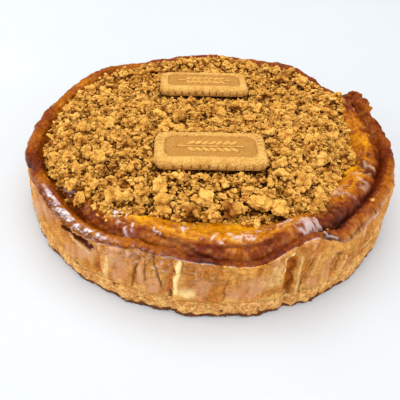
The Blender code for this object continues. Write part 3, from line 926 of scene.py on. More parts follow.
# Marks that the front of the side shows, from left to right
FRONT_MARKS = (
    Mark(Tint.SMOOTH, (-150.0, 0.014), (-139.0, 0.028), 0.0060),
    Mark(Tint.SMOOTH, (-127.5, 0.015), (-121.0, 0.026), 0.0052),
    Mark(Tint.SHADED_CREASE, (-129.8, 0.0318), (-119.6, 0.0271), 0.0013, 0.0012, 1.4),
    Mark(Tint.SHADED_CREASE, (-130.5, 0.0300), (-122.5, 0.0282), 0.0011, 0.0008, 1.5),
    Mark(Tint.PALE_AND_HIGHLIGHT, (-127.0, 0.0272), (-120.5, 0.0248), 0.0008, -0.0005, 0.4),
    Mark(Tint.AMBER, (-118.2, 0.0120), (-118.0, 0.0290), 0.0012, 0.0004),
    Mark(Tint.PALE_AND_HIGHLIGHT, (-116.0, 0.0115), (-115.6, 0.0260), 0.0016, -0.0004, 0.6),
    Mark(Tint.SMOOTH, (-112.2, 0.0140), (-111.2, 0.0270), 0.0038),
    Mark(Tint.SHADED_CREASE, (-108.2, 0.0130), (-107.0, 0.0330), 0.0006, 0.0005, 0.7),
    Mark(Tint.SMOOTH, (-106.2, 0.0150), (-105.8, 0.0300), 0.0020, -0.0003),
    Mark(Tint.SHADED_CREASE, (-104.6, 0.0200), (-104.9, 0.0340), 0.0005, 0.0004, 0.6),
    Mark(Tint.SMOOTH, (-103.0, 0.0120), (-102.6, 0.0210), 0.0032),
    Mark(Tint.SHADED_CREASE, (-100.6, 0.0180), (-102.6, 0.0370), 0.0007, 0.0006, 0.8),
    Mark(Tint.SHADED_CREASE, (-98.9, 0.0020), (-98.5, 0.0150), 0.0006, 0.0012, 0.9),
    Mark(Tint.AMBER, (-98.8, 0.0140), (-98.3, 0.0330), 0.0008, 0.0008, 0.8),
    Mark(Tint.PALE_AND_HIGHLIGHT, (-97.4, 0.0110), (-96.6, 0.0370), 0.0012, -0.0011),
    Mark(Tint.PALE_AND_HIGHLIGHT, (-96.6, 0.0150), (-94.0, 0.0165), 0.0036, -0.0003, 0.8),
    Mark(Tint.SMOOTH, (-91.5, 0.0170), (-90.5, 0.0240), 0.0040, 0.0, 0.7),
    Mark(Tint.SHADED_CREASE, (-85.2, 0.0140), (-85.0, 0.0280), 0.0004, 0.0003, 0.6),
    Mark(Tint.SMOOTH, (-82.0, 0.0150), (-77.5, 0.0230), 0.0062, 0.0, 0.9),
    Mark(Tint.PALE_AND_HIGHLIGHT, (-73.4, 0.0230), (-72.8, 0.0320), 0.0030, -0.0004, 0.55),
    Mark(Tint.PALE_AND_HIGHLIGHT, (-70.9, 0.0290), (-70.2, 0.0420), 0.0008, -0.0006, 0.8),
    Mark(Tint.AMBER, (-69.4, 0.0080), (-68.9, 0.0370), 0.0015, 0.0006),
    Mark(Tint.SHADED_CREASE, (-69.0, 0.0080), (-68.7, 0.0330), 0.0006, 0.0006, 0.6),
    Mark(Tint.PALE_AND_HIGHLIGHT, (-67.3, 0.0120), (-67.0, 0.0380), 0.0007, -0.0006, 0.45),
    Mark(Tint.AMBER, (-65.8, 0.0100), (-65.2, 0.0350), 0.0011, 0.0007),
    Mark(Tint.SHADED_CREASE, (-65.6, 0.0100), (-63.6, 0.0340), 0.0005, 0.0005, 0.7),
    Mark(Tint.PALE_AND_HIGHLIGHT, (-63.8, 0.0160), (-62.2, 0.0360), 0.0008, -0.0005, 0.30),
    Mark(Tint.SMOOTH, (-58.2, 0.0170), (-57.2, 0.0290), 0.0042, -0.0006),
    Mark(Tint.AMBER, (-57.4, 0.0200), (-57.0, 0.0280), 0.0022, 0.0, 0.35),
    Mark(Tint.SHADED_CREASE, (-54.2, 0.0160), (-54.6, 0.0300), 0.0005, 0.0006, 0.6),
    Mark(Tint.PALE_AND_HIGHLIGHT, (-52.8, 0.0150), (-51.4, 0.0230), 0.0014, -0.0003, 0.4),
    Mark(Tint.PALE_AND_HIGHLIGHT, (-43.0, 0.0165), (-36.0, 0.0225), 0.0018, -0.0003, 0.35),
)


@dataclass
class Cheesecake:
    """The baked cheese: creased side, curled rim, moat, folded skin and the part under the crumbs."""

    form: CakeForm
    steps: int = 880
    side_rows: int = 44
    shoulder_rows: int = 12
    skin_rows: int = 46
    rows_near_rim: float = 1.4
    skin_under_crumbs: float = 0.006
    seed: int = 31
    skin_starts: Stations = (
        (-150, 0.0018), (-122, 0.0006), (-108, 0.0000), (-94, -0.0018), (-78, -0.0018), (-68, -0.0030),
        (-59, -0.0036), (-50, -0.0056), (-34, -0.0060), (-18, -0.0030), (0, 0.0004), (20, 0.0012),
        (90, 0.0026), (180, 0.0026),
    )
    # How far folds fill the moat, from 0 to 1
    moat_filled: Stations = (
        (-130, 0.10), (-106, 0.40), (-90, 0.70), (-76, 0.72), (-64, 0.75), (-58, 0.40), (-50, 0.35),
        (-40, 0.45), (-20, 0.45), (40, 0.3), (180, 0.0),
    )
    # How dark the skin is burnt on the rim's crest, in the folds behind it and further in
    burnt_crest: Stations = (
        (-168, 0.60), (-156, 0.74), (-148, 0.66), (-138, 0.50), (-118, 0.46), (-108, 0.56), (-99, 0.68),
        (-76, 0.70), (-64, 0.58), (-50, 0.54), (-30, 0.58), (-8, 0.64), (22, 0.62), (60, 0.62),
        (100, 0.66), (140, 0.50), (175, 0.50),
    )
    burnt_deep: Stations = (
        (-120, 0.68), (-92, 0.66), (-78, 0.66), (-60, 0.70), (-30, 0.72), (90, 0.78), (180, 0.78),
    )
    burnt_inside: Stations = (
        (-150, 0.42), (-118, 0.36), (-92, 0.32), (-60, 0.38), (-30, 0.42), (0, 0.50), (90, 0.6),
    )
    # The middle and half breadth of the part whose fold fills the moat
    front_fold: tuple[float, float] = (-82, 24)
    thin_mark: float = 0.0015
    # Yellow places and painted white highlights on the skin, as (azimuth, radius, breadth, how yellow, how
    # strong the highlight)
    spots: Sequence[tuple[float, float, float, float, float]] = (
        (-145, 0.103, 0.0040, 0.34, 0.0),
        (-115, 0.094, 0.0050, 0.30, 0.0),
        (-76, 0.0845, 0.0045, 0.34, 0.0),
        (-23, 0.0875, 0.0036, 0.45, 0.0),
        (-4, 0.0990, 0.0030, 0.30, 0.0),
        (-136, 0.1000, 0.0036, 0.0, 0.85),
        (-117, 0.0985, 0.0028, 0.0, 0.80),
        (-112, 0.1025, 0.0030, 0.0, 0.85),
        (-106, 0.1010, 0.0024, 0.0, 0.70),
        (-98, 0.0960, 0.0024, 0.0, 0.60),
        (-88, 0.1010, 0.0034, 0.0, 0.60),
        (-80, 0.0990, 0.0040, 0.0, 0.60),
        (-70, 0.0960, 0.0040, 0.0, 0.50),
        (-62, 0.1030, 0.0050, 0.0, 0.50),
    )
    marks: list[Mark] = field(default_factory=list)

    def __post_init__(self) -> None:
        """Adds marks of the same kinds all round, where the photo doesn't show the side."""
        rule = random.Random(self.seed)
        self.marks = list(FRONT_MARKS)
        azimuth = -34.0
        while azimuth < 206.0:
            tint = rule.choice((Tint.SMOOTH, Tint.SMOOTH, Tint.PALE_AND_HIGHLIGHT, Tint.SHADED_CREASE, Tint.AMBER))
            low = rule.uniform(0.012, 0.020)
            high = low + rule.uniform(0.005, 0.018)
            lean = rule.uniform(-2.5, 2.5)
            width = {
                Tint.SMOOTH: rule.uniform(0.0034, 0.0060),
                Tint.PALE_AND_HIGHLIGHT: rule.uniform(0.0010, 0.0022),
                Tint.SHADED_CREASE: rule.uniform(0.0004, 0.0009),
                Tint.AMBER: rule.uniform(0.0009, 0.0015),
            }[tint]
            sunk = {Tint.SMOOTH: 0.0, Tint.PALE_AND_HIGHLIGHT: -0.0004, Tint.SHADED_CREASE: 0.0006, Tint.AMBER: 0.0006}[tint]
            strength = rule.uniform(0.5, 0.95) * (0.5 if tint is Tint.PALE_AND_HIGHLIGHT else 1.0)
            start, end = (azimuth, low), (azimuth + lean, high)
            self.marks.append(Mark(tint, start, end, width, sunk, strength))
            azimuth += rule.uniform(2.0, 5.0)

    def build(self, finish: bpy.types.Material) -> bpy.types.Object:
        """Makes and dresses the body."""
        azimuth = np.broadcast_to(front_loaded(self.steps)[None], (self.row_count(), self.steps))
        radius, height, band = self.profile(azimuth)
        base = polar(azimuth, radius, height)
        inward = self.form.crest_radius(azimuth) - radius
        side, side_masks = self.side_relief(azimuth, height)
        top, burn, crevice_shade, film_and_sheen, painted_glint = self.skin_relief(azimuth, radius, height, inward)
        on_top = np.clip(band, 0, 1)
        relief = side * (1 - on_top) + top * on_top
        under = 0.3 + 0.7 * ease(height, self.form.floor, self.form.floor + 0.0008)
        under = under * (np.arange(len(base)) > 1)[:, None] * (radius > 0.02)
        points = base + facing(base) * (relief * under)[..., None]
        points[..., 2] = np.maximum(points[..., 2], self.form.base_thickness + 0.00005)
        # Painted shade: dark creases and tears on the side, and cracks and hollows on the skin
        dark = np.maximum(side_masks[Tint.SHADED_CREASE] * (1 - on_top), crevice_shade * on_top)
        creep = polar(azimuth, MEAN_RADIUS, height * 0.5)
        sandy_to = self.form.floor + 0.0020 + 0.0032 * rough(creep, 0.0055, Seed.SAND, 3)
        sand = ease(sandy_to - height, -0.0008, 0.0010)
        # Painted highlight: a pale line along the seam where the side turns into skin
        seam = hump(on_top - 0.5, 0.25) * ease(rough(creep, 0.004, Seed.SEAM, 2), -0.5, 0.2)
        painted_glint = np.maximum(painted_glint, 0.60 * seam * sector(azimuth, -76, 40, 0.1, 0.5))
        masks = {
            "side": np.stack([side_masks[tint] for tint in (Tint.PALE_AND_HIGHLIGHT, Tint.SMOOTH, Tint.AMBER)], axis=-1),
            "crust": np.stack([on_top, burn, dark], axis=-1),
            "bloom": np.clip(np.stack([film_and_sheen * on_top, sand * (1 - on_top), painted_glint], axis=-1), 0, 1),
        }
        body = ring_body("cheesecake_body", points, masks)
        dress(body, finish, "cheesecake")
        return body

    def row_count(self) -> int:
        """Number of rings in the body."""
        return 2 + self.side_rows + self.shoulder_rows + self.skin_rows + 3

    def profile(self, azimuth: Array) -> tuple[Array, Array, Array]:
        """The bare outline of the body.

        Args:
            azimuth: Azimuths in degrees (rows, steps), the same in each row.

        Returns:
            Radius, height and how far each place is skin, each (rows, steps).
        """
        form = self.form
        ring = azimuth[0]
        edge = form.rim_edge(ring)
        crest = form.crest_radius(ring)
        top = form.crest_height(ring)
        shoulder = around(form.rim_shoulder, ring)
        inner = form.heap_reach(ring) - self.skin_under_crumbs
        floor = np.full_like(ring, form.base_thickness + 0.00005)
        starts = around(self.skin_starts, ring)
        rows = [(form.side_radius(ring, floor) * 0.5, floor, 0 * ring)]
        rows.append((form.side_radius(ring, floor) * 0.985, floor, 0 * ring))
        for part in np.linspace(0, 1, self.side_rows):
            level = floor + (edge - floor) * part**0.92
            turned = ease(level - edge + starts, -0.0008, 0.0008)
            rows.append((form.side_radius(ring, level), level, turned))
        for part in np.linspace(0, 1, self.shoulder_rows + 1)[1:]:
            angle = part * math.pi / 2
            turned = ease(shoulder * angle + starts, -0.0008, 0.0008)
            level = edge + (top - edge) * math.sin(angle)
            rows.append((crest + shoulder * math.cos(angle), level, turned))
        for part in np.linspace(0, 1, self.skin_rows + 1)[1:] ** self.rows_near_rim:
            radius = crest + (inner - crest) * part
            rows.append((radius, form.skin_height(ring, radius), 1 + 0 * ring))
        for part in (0.8, 0.45, 0.12):
            rows.append((inner * part, form.skin_height(ring, inner * part) - 0.0004, 1 + 0 * ring))
        radius, height, band = (np.array(values) for values in zip(*rows))
        return radius, height, band

    def side_relief(self, azimuth: Array, height: Array) -> tuple[Array, dict[Tint, Array]]:
        """Relief of the side out of the bare outline, and the cover of each tint.

        Args:
            azimuth: Azimuths in degrees.
            height: Heights.

        Returns:
            The relief in metres, and for each tint its cover from 0 to 1.
        """
        round_it = polar(azimuth, MEAN_RADIUS, height)
        shift = 0.0008 * rough(round_it, 0.005, Seed.SIDE_SHIFT, 2)
        warped = azimuth + np.degrees(shift / MEAN_RADIUS)
        lifted = height + 0.0010 * rough(round_it, 0.006, Seed.SIDE_LIFT, 2)
        worn = rough(round_it, (0.003, 0.003, 0.005), Seed.SIDE_WEAR, 3)
        covers, marks = self.marked(warped, lifted, worn)
        bent = polar(warped, MEAN_RADIUS, lifted)
        edge, chance = cells(bent, (0.0080, 0.0080, 0.024), Seed.SIDE_FACETS)
        pleat = folds(bent, (0.0032, 0.0032, 0.018), Seed.SIDE_PLEATS, 2)
        patchy = ease(chance + 0.25 * worn, 0.70, 0.90) * ease(edge + 0.12 * worn, 0.05, 0.40)
        seam = (1 - ease(edge, 0.0, 0.12)) * ease(worn, -0.2, 0.5)
        # Pale is painted highlight on the pleats' crests; amber lies in their hollows and on the seams
        by_chance = {
            Tint.SMOOTH: 0.75 * patchy,
            Tint.AMBER: np.maximum(0.45 * seam, 0.35 * ease(-pleat, 0.1, 0.8)),
            Tint.PALE_AND_HIGHLIGHT: 0.22 * ease(pleat, 0.70, 0.98) * ease(worn, -0.1, 0.4),
        }
        for tint, cover in by_chance.items():
            covers[tint] = np.maximum(covers[tint], cover)
        covers[Tint.SMOOTH] *= ease(height, self.form.floor + 0.0012, self.form.floor + 0.003)
        smooth = covers[Tint.SMOOTH]
        above_foot = ease(height, self.form.floor, self.form.floor + 0.004)
        below_rim = hump(height - self.form.rim_edge(azimuth) + 0.004, 0.005)
        facet = ease(edge, 0.0, 0.6) * (0.35 + 0.65 * chance)
        dents = 0.0007 * rough(round_it, 0.011, Seed.SIDE_DENTS, 3)
        layers = 0.00080 * folds(round_it, (0.009, 0.009, 0.0022), Seed.SIDE_LAYERS, 2)
        layers = layers * below_rim * self.crumpled(azimuth)
        lumpy = below_rim * sector(azimuth, -85, 13)
        grit = (0.00034 + 0.00060 * lumpy) * rough(round_it, 0.0018, Seed.SIDE_GRIT, 3)
        relief = dents + 0.00042 * pleat * (1 - 0.7 * smooth) + (0.0013 * facet - 0.0007) * above_foot
        return relief + layers + grit * (1 - 0.8 * smooth) + marks, covers

    def marked(self, azimuth: Array, height: Array, worn: Array) -> tuple[dict[Tint, Array], Array]:
        """What the marks do to the side.

        Args:
            azimuth: Azimuths in degrees.
            height: Heights.
            worn: How worn the side is, which frays the marks.

        Returns:
            For each tint its cover from 0 to 1, and the relief in metres.
        """
        covers = {tint: np.zeros(azimuth.shape) for tint in Tint}
        relief = np.zeros(azimuth.shape)
        for mark in self.marks:
            cover = mark.cover(azimuth, height)
            thin = mark.width < self.thin_mark
            frayed = ease(worn, -1.4, -0.5) if thin else 1 - 0.5 * ease(worn, 0.1, 0.7)
            covers[mark.tint] = np.maximum(covers[mark.tint], cover * mark.strength * frayed)
            relief -= cover * mark.sunk
        covers[Tint.SHADED_CREASE] *= 0.85
        return covers, relief

    @staticmethod
    def crumpled(azimuth: Array) -> Array:
        """How much the side is crumpled under the rim, most at the left of the front."""
        left = hump(turn_between(azimuth, -116), 13)
        right = hump(turn_between(azimuth, -58), 9)
        return 0.35 + left + right

    def skin_relief(self, azimuth: Array, radius: Array, height: Array, inward: Array) -> tuple[Array, ...]:
        """Relief and browning of the rim and the skin.

        Args:
            azimuth: Azimuths in degrees.
            radius: Radii.
            height: Heights.
            inward: How far in from the rim's highest line.

        Returns:
            The relief in metres, and the skin's burning, its painted shade, its pale marks that are partly
            painted sheen, and its painted glints.
        """
        strip = polar(azimuth, MEAN_RADIUS, inward)
        flat = polar(azimuth, radius, 0.0)
        solid = polar(azimuth, radius, height)
        wave = inward + 0.0022 * rough(flat, 0.016, Seed.FOLD_WAVE, 2)
        wavy = polar(azimuth, MEAN_RADIUS, wave)
        near_rim = ease(-inward, -0.004, 0.0)
        folded = hump(inward - 0.0115, 0.0060)
        ridges = folds(wavy, (0.012, 0.012, 0.0020), Seed.FOLD_RIDGES, 3)
        crumple = folds(solid, 0.0036, Seed.CRUMPLE, 3)
        wrinkles = ridges * (0.00030 + 0.00044 * folded) + crumple * (0.00014 + 0.00034 * folded)
        creases = folds(strip, (0.0026, 0.0026, 0.012), Seed.RIM_CREASES, 2) * 0.00016 * near_rim
        lumps = rough(flat, 0.0075, Seed.RIM_LUMPS, 2) * (0.0004 + 0.0004 * near_rim)
        ragged = rough(polar(azimuth, MEAN_RADIUS, 0.0), 0.0022, Seed.RIM_RAGGED, 3)
        ragged = ragged * 0.0007 * hump(inward, 0.0016)
        sheets, lip, gap = self.terraces(azimuth, radius, inward)
        tear, torn, lip_highlight = self.front_tears(azimuth, inward)
        glaze, crack, painted_glint = self.crackle(azimuth, solid, inward)
        # Painted highlights on the lip over the hole and on the sheets' lips
        painted_glint = np.maximum.reduce([painted_glint, 0.8 * lip_highlight, 0.22 * lip])
        moat_in = around(self.form.moat_in, azimuth)
        depth = around(self.form.moat_depth, azimuth)
        filled = around(self.moat_filled, azimuth) * depth * hump(inward - moat_in - 0.0012, 0.0032)
        relief = wrinkles + creases + lumps + ragged + sheets + tear + glaze + filled
        relief = relief + self.flap_relief(azimuth, flat, inward)
        burn = self.browning(azimuth, inward, flat) - 0.12 * ridges * folded - 0.05 * crumple * folded
        right = sector(azimuth, -30, 28)
        # Pale marks on the folds' ridges, the sheets' lips and streaks on the roll at the right, partly
        # painted sheen
        film_and_sheen = 0.24 * ease(ridges + 0.3 * crumple, 0.75, 1.15) * folded * (1 - right)
        streaks = ease(folds(strip, (0.0016, 0.0016, 0.012), Seed.ROLL_STREAKS, 2), -0.2, 0.6)
        on_roll = 0.45 * right * hump(inward + 0.0058, 0.0022) * streaks
        film_and_sheen = np.maximum.reduce([film_and_sheen, 0.38 * lip, on_roll])
        glint = ease(crumple + 0.5 * ridges, 0.25, 0.9)
        for at, reach, breadth, yellow, pale in self.spots:
            away = np.hypot(np.radians(turn_between(azimuth, at)) * reach * 0.45, radius - reach)
            away = away + 0.0022 * rough(flat, 0.005, Seed.SPOTS, 2)
            burn = burn - yellow * hump(away, breadth)
            # Painted highlight: white glints on the wrinkles in the pale spots
            painted_glint = np.maximum(painted_glint, pale * ease(hump(away, breadth), 0.2, 0.7) * glint)
        front = sector(azimuth, *self.front_fold)
        line = inward - moat_in - 0.0016 * front
        # Painted shade along the moat, darker where it is deeper
        moat = hump(line, self.form.moat_width * (0.7 - 0.4 * front)) * ease(inward / moat_in, 0.2, 0.8)
        moat = moat * np.minimum(depth / 0.007, 1) * self.moat_shade(azimuth)
        # Painted shade in the moat, tears, cracks and the gaps between sheets
        crevice_shade = np.maximum.reduce([moat, torn, crack, gap])
        masks = ((burn, 1), (crevice_shade, 0.92), (film_and_sheen, 0.85), (painted_glint, 0.9))
        return relief, *(np.clip(mask, 0, most) for mask, most in masks)

    def moat_shade(self, azimuth: Array) -> Array:
        """How dark the moat's painted shade is, less where a fold fills it."""
        front = sector(azimuth, *self.front_fold)
        return 0.84 - 0.5 * around(self.moat_filled, azimuth) * (1 - front)

    def flap_relief(self, azimuth: Array, flat: Array, inward: Array) -> Array:
        """The torn, leaf-like folds where the rim stands up at the right of the back."""
        zone = sector(azimuth, 22, 11, 0.2, 0.7) * hump(inward - 0.001, 0.008)
        leaves = folds(flat + np.array([0, 0, 0.01]), (0.0075, 0.0045, 0.01), Seed.LEAVES, 3)
        return zone * (0.0018 * leaves + 0.0010 * rough(flat, 0.003, Seed.LEAF_LUMPS, 2))

    def front_tears(self, azimuth: Array, inward: Array) -> tuple[Array, Array, Array]:
        """The creases in the front's fold, the hole under the lobe and the lip over it.

        Args:
            azimuth: Azimuths in degrees.
            inward: How far in from the rim's highest line.

        Returns:
            Their relief in metres, the painted shade in them and the painted highlight on the lip.
        """
        slanted = inward - 0.0075 + 0.00025 * turn_between(azimuth, -96)
        slanted = slanted + 0.0004 * np.sin(np.radians(azimuth * 31))
        first = hump(slanted, 0.0006) * sector(azimuth, -97, 10, 0.25, 0.6)
        level = inward - 0.0098 - 0.0005 * np.sin(np.radians(azimuth * 17))
        second = 0.7 * hump(level, 0.0005) * sector(azimuth, -80, 9, 0.25, 0.6)
        creases = np.maximum(first, second)
        along = np.radians(turn_between(azimuth, -57.2)) * MEAN_RADIUS
        hole = hump(np.hypot(along * 0.60, inward + 0.0028 + 0.30 * along), 0.0030)
        reach = np.clip((along + 0.0040) / 0.0085, 0, 1)
        from_lip = np.hypot(along + 0.0040 - 0.0085 * reach, inward - 0.0012 + 0.0046 * reach)
        lip = hump(from_lip, 0.0007)
        shelf = hump(inward + 0.0050, 0.0005) * hump(turn_between(azimuth, -47), 4.5)
        in_hole = ease(hole, 0.10, 0.30) * (1 - lip)
        # Painted shade in the creases, the hole and under the shelf
        dark = np.maximum.reduce([0.85 * creases, 0.98 * in_hole, 0.8 * shelf])
        return 0.0014 * lip - 0.0014 * creases - 0.0040 * hole - 0.0008 * shelf, dark, lip

    def crackle(self, azimuth: Array, place: Array, inward: Array) -> tuple[Array, Array, Array]:
        """The cracked glaze on the rim's outer edge, most at the left, with painted highlights and painted
        shade.

        Args:
            azimuth: Azimuths in degrees.
            place: The points themselves.
            inward: How far in from the rim's highest line.

        Returns:
            Its relief in metres, the painted shade in its cracks and its painted highlights.
        """
        zone = hump(turn_between(azimuth, -128), 15)
        upper = zone * hump(inward + 0.0018, 0.0019)
        further = np.maximum(zone, 0.8 * hump(turn_between(azimuth, -104), 15))
        lower = further * hump(inward + 0.0040, 0.0018)
        edge, chance = cells(place, (0.0024, 0.0024, 0.0018), Seed.GLAZE)
        scales, scale = cells(place, (0.0020, 0.0020, 0.0013), Seed.GLAZE_SCALES)
        # Painted shade in the glaze's cracks
        crack = (1 - ease(edge, 0.02, 0.14)) * ease(upper, 0.3, 0.6)
        fine_crack = (1 - ease(scales, 0.04, 0.24)) * ease(lower, 0.2, 0.5)
        relief = (0.0006 * ease(edge, 0.0, 0.3) - 0.0003) * upper
        relief = relief + (0.0011 * ease(scales, 0.0, 0.4) - 0.0006) * lower
        # Painted highlights on the glaze's scales
        upper_painted_glint = 0.92 * ease(upper, 0.25, 0.7) * ease(chance, 0.25, 0.45)
        painted_glint = np.maximum(upper_painted_glint, 0.42 * lower * ease(scale, 0.62, 0.88))
        above_foot = ease(place[..., 2], 0.02, 0.03)
        return relief, np.maximum(0.8 * crack, 0.75 * fine_crack), painted_glint * above_foot

    def terraces(self, azimuth: Array, radius: Array, inward: Array) -> tuple[Array, Array, Array]:
        """Thin torn sheets of skin at the right of the front.

        Args:
            azimuth: Azimuths in degrees.
            radius: Radii.
            inward: How far in from the rim's highest line.

        Returns:
            Their relief in metres, their pale lips, partly painted highlight, and painted shade between
            them.
        """
        flat = polar(azimuth, radius, 0.0)
        seeds = (Seed.SHEETS, Seed.SHEETS_TORN, Seed.SHEETS_BENT)
        bent = flat + 0.0016 * np.stack([rough(flat, 0.006, seed, 2) for seed in seeds], axis=-1)
        edge, chance = cells(bent * np.array([1, 1, 0]), (0.0135, 0.0090, 1.0), Seed.SHEETS)
        zone = sector(azimuth, -34, 21)
        zone = zone * ease(inward, 0.0075, 0.0105) * ease(-inward, -0.040, -0.028)
        border = 1 - ease(edge, 0.02, 0.12)
        high = ease(chance, 0.40, 0.60)
        relief = 0.0018 * ease(chance, 0.1, 0.9) + 0.0003 * border * high - 0.0008
        torn = ease(rough(flat, 0.005, Seed.SHEETS_TORN, 2), -0.2, 0.4)
        # Painted shade in the gaps beside the higher sheets
        gaps = 0.8 * zone * (1 - ease(edge, 0.02, 0.16)) * (1 - high)
        return relief * zone, zone * border * high * torn, gaps

    def browning(self, azimuth: Array, inward: Array, flat: Array) -> Array:
        """How dark the skin is, from 0 for yellow to 1 for nearly black."""
        crest, deep, inside = (
            around(stations, azimuth) for stations in (self.burnt_crest, self.burnt_deep, self.burnt_inside)
        )
        level = crest + (deep - crest) * ease(inward, 0.0045, 0.0070)
        level = level + (inside - level) * ease(inward, 0.0085, 0.0135)
        level = level - 0.10 * ease(inward, 0.015, 0.024)
        right = sector(azimuth, -32, 24)
        darker = 0.34 * ease(inward, -0.0012, 0.0034) * ease(-inward, -0.0095, -0.0065)
        level = level + right * (darker - 0.02)
        return level + 0.10 * rough(flat, 0.016, Seed.BROWNING, 3)


@dataclass
class BiscuitBase:
    """The pressed base under the cheese: a sandy disc with pits and a crumbling, toasted foot."""

    form: CakeForm
    steps: int = 880
    side_rows: int = 24

    def build(self, finish: bpy.types.Material) -> bpy.types.Object:
        """Makes and dresses the base."""
        form = self.form
        ring = front_loaded(self.steps)
        thickness = form.base_thickness
        rows = [(0.5, 0.0, 0.0), (0.97, 0.0, 0.0)]
        rows += [
            (1.0 - 0.002 * hump(part, 0.06) - 0.0034 * ease(part, 0.6, 1.0), part, 1.0)
            for part in np.linspace(0, 0.985, self.side_rows)
        ]
        rows += [(0.9945, 1.0, 0.6), (0.5, 1.0, 0.0)]
        share, level, rim = (np.array(values)[:, None] for values in zip(*rows))
        azimuth = np.broadcast_to(ring[None], (len(rows), self.steps))
        height = np.broadcast_to(level * thickness, azimuth.shape)
        ragged = form.base_ragged * wander(azimuth, 23, 1.1 * (1 + level)) * rim
        creased = form.crease_depth(azimuth, height * 0 + thickness) * form.base_crease_share * rim
        base = polar(azimuth, share * form.foot_radius + ragged - creased, height)
        relief, pits, toast = self.crumble(azimuth, height)
        points = base + facing(base) * (relief * rim)[..., None]
        points[..., 2] = np.clip(points[..., 2], 0, thickness)
        masks = {"bake": np.stack([toast, pits, 0 * pits], axis=-1)}
        body = ring_body("baked_base", points, masks)
        dress(body, finish, "biscuit_base")
        return body

    def crumble(self, azimuth: Array, height: Array) -> tuple[Array, Array, Array]:
        """Relief, pits with their painted shade, and toasting of the base's edge.

        Args:
            azimuth: Azimuths in degrees.
            height: Heights.

        Returns:
            The relief in metres, the painted shade in the pits and the toasting, both from 0 to 1.
        """
        round_it = polar(azimuth, MEAN_RADIUS, height)
        grit = 0.00036 * rough(round_it, 0.0014, Seed.BASE_GRIT, 3)
        lumps = 0.00030 * rough(round_it, 0.0050, Seed.BASE_LUMPS, 2)
        pits = ease(rough(round_it, (0.0021, 0.0021, 0.0015), Seed.BASE_PITS, 2), 0.58, 0.90)
        toasted_to = 0.0023 + 0.0016 * rough(round_it, 0.0035, Seed.BASE_TOAST, 3)
        toast = ease(toasted_to - height, -0.0006, 0.0004)
        crumbs = 0.0005 * rough(round_it, 0.0014, Seed.BASE_CRUMBS, 2)
        crumbs = crumbs * ease(-height, -0.0040, -0.0015)
        # Painted shade: the pits are darkened as well as sunk
        dark = pits * 0.85
        return grit + lumps + crumbs - 0.0010 * dark, dark, toast


@dataclass
class Pile:
    """How high the crumbs lie so far, as a square map of heights over the cake."""

    form: CakeForm
    lowered: float
    half_side: float = 0.124
    cell: float = 0.0005
    level: Array = field(default_factory=lambda: np.zeros(0))
    bed: Array = field(default_factory=lambda: np.zeros(0))

    def __post_init__(self) -> None:
        """Starts the map from the bed."""
        ring = np.linspace(-180, 180, 240, endpoint=False)
        parts = np.linspace(0, 1, 40)
        count = int(2 * self.half_side / self.cell)
        axis = (np.arange(count) + 0.5) * self.cell - self.half_side
        x, y = np.meshgrid(axis, axis, indexing="ij")
        azimuth = np.degrees(np.arctan2(y, x))
        radius = np.hypot(x, y)
        reach = self.form.heap_reach(azimuth)
        table = self.form.heap_top(*np.meshgrid(ring, parts, indexing="ij")) - self.lowered
        turn = (azimuth + 180) / 360 * len(ring)
        step = np.clip(radius / reach, 0, 1) * (len(parts) - 1)
        first, low = np.floor(turn).astype(int), np.minimum(np.floor(step).astype(int), len(parts) - 2)
        a, b = turn - first, step - low
        nearby = [table[(first + i) % len(ring), low + j] for i, j in ((0, 0), (1, 0), (0, 1), (1, 1))]
        bed = (nearby[0] * (1 - a) + nearby[1] * a) * (1 - b) + (nearby[2] * (1 - a) + nearby[3] * a) * b
        skin = self.form.skin_height(azimuth, np.minimum(radius, self.form.crest_radius(azimuth)))
        self.bed = np.where(radius < reach - 0.002, np.maximum(bed, skin), skin)
        self.level = self.bed.copy()

    def height_over_bed(self, x: float, y: float) -> float:
        """How high the pile already stands over its bed at a place."""
        row = int((x + self.half_side) / self.cell)
        column = int((y + self.half_side) / self.cell)
        return float(self.level[row, column] - self.bed[row, column])

    def footprint(self, x: float, y: float, size: float) -> tuple[slice, slice]:
        """The part of the map that a crumb of this size covers."""
        reach = max(int(size * 0.4 / self.cell), 1)
        row = int((x + self.half_side) / self.cell)
        column = int((y + self.half_side) / self.cell)
        return slice(row - reach, row + reach + 1), slice(column - reach, column + reach + 1)

    def settle(self, x: float, y: float, size: float, sink: float) -> float:
        """Lays a crumb on the pile.

        Args:
            x: Its place.
            y: Its place.
            size: Its breadth.
            sink: Share of its height that sinks in.

        Returns:
            The height of its middle.
        """
        spot = self.footprint(x, y, size)
        patch = self.level[spot]
        foot = float(np.percentile(patch, 55))
        middle = foot + size * (0.36 - sink)
        rows, columns = patch.shape
        down, over = ((np.arange(count) - (count - 1) / 2) / (count / 2) for count in (rows, columns))
        away = np.hypot(down[:, None], over[None])
        dome = middle + size * 0.36 * np.sqrt(np.clip(1 - away**2, 0, 1))
        self.level[spot] = np.where(away < 1, np.maximum(patch, dome), patch)
        return middle


@dataclass(frozen=True)
class CrumbKind:
    """One size of crumb: how many there are, how large they are and how they are made."""

    name: str
    count: int
    largest: float
    smallest: float
    shapes: int
    lobes: tuple[int, int]
    faces: int
    sink: float
    spacing: float
    ceiling: float


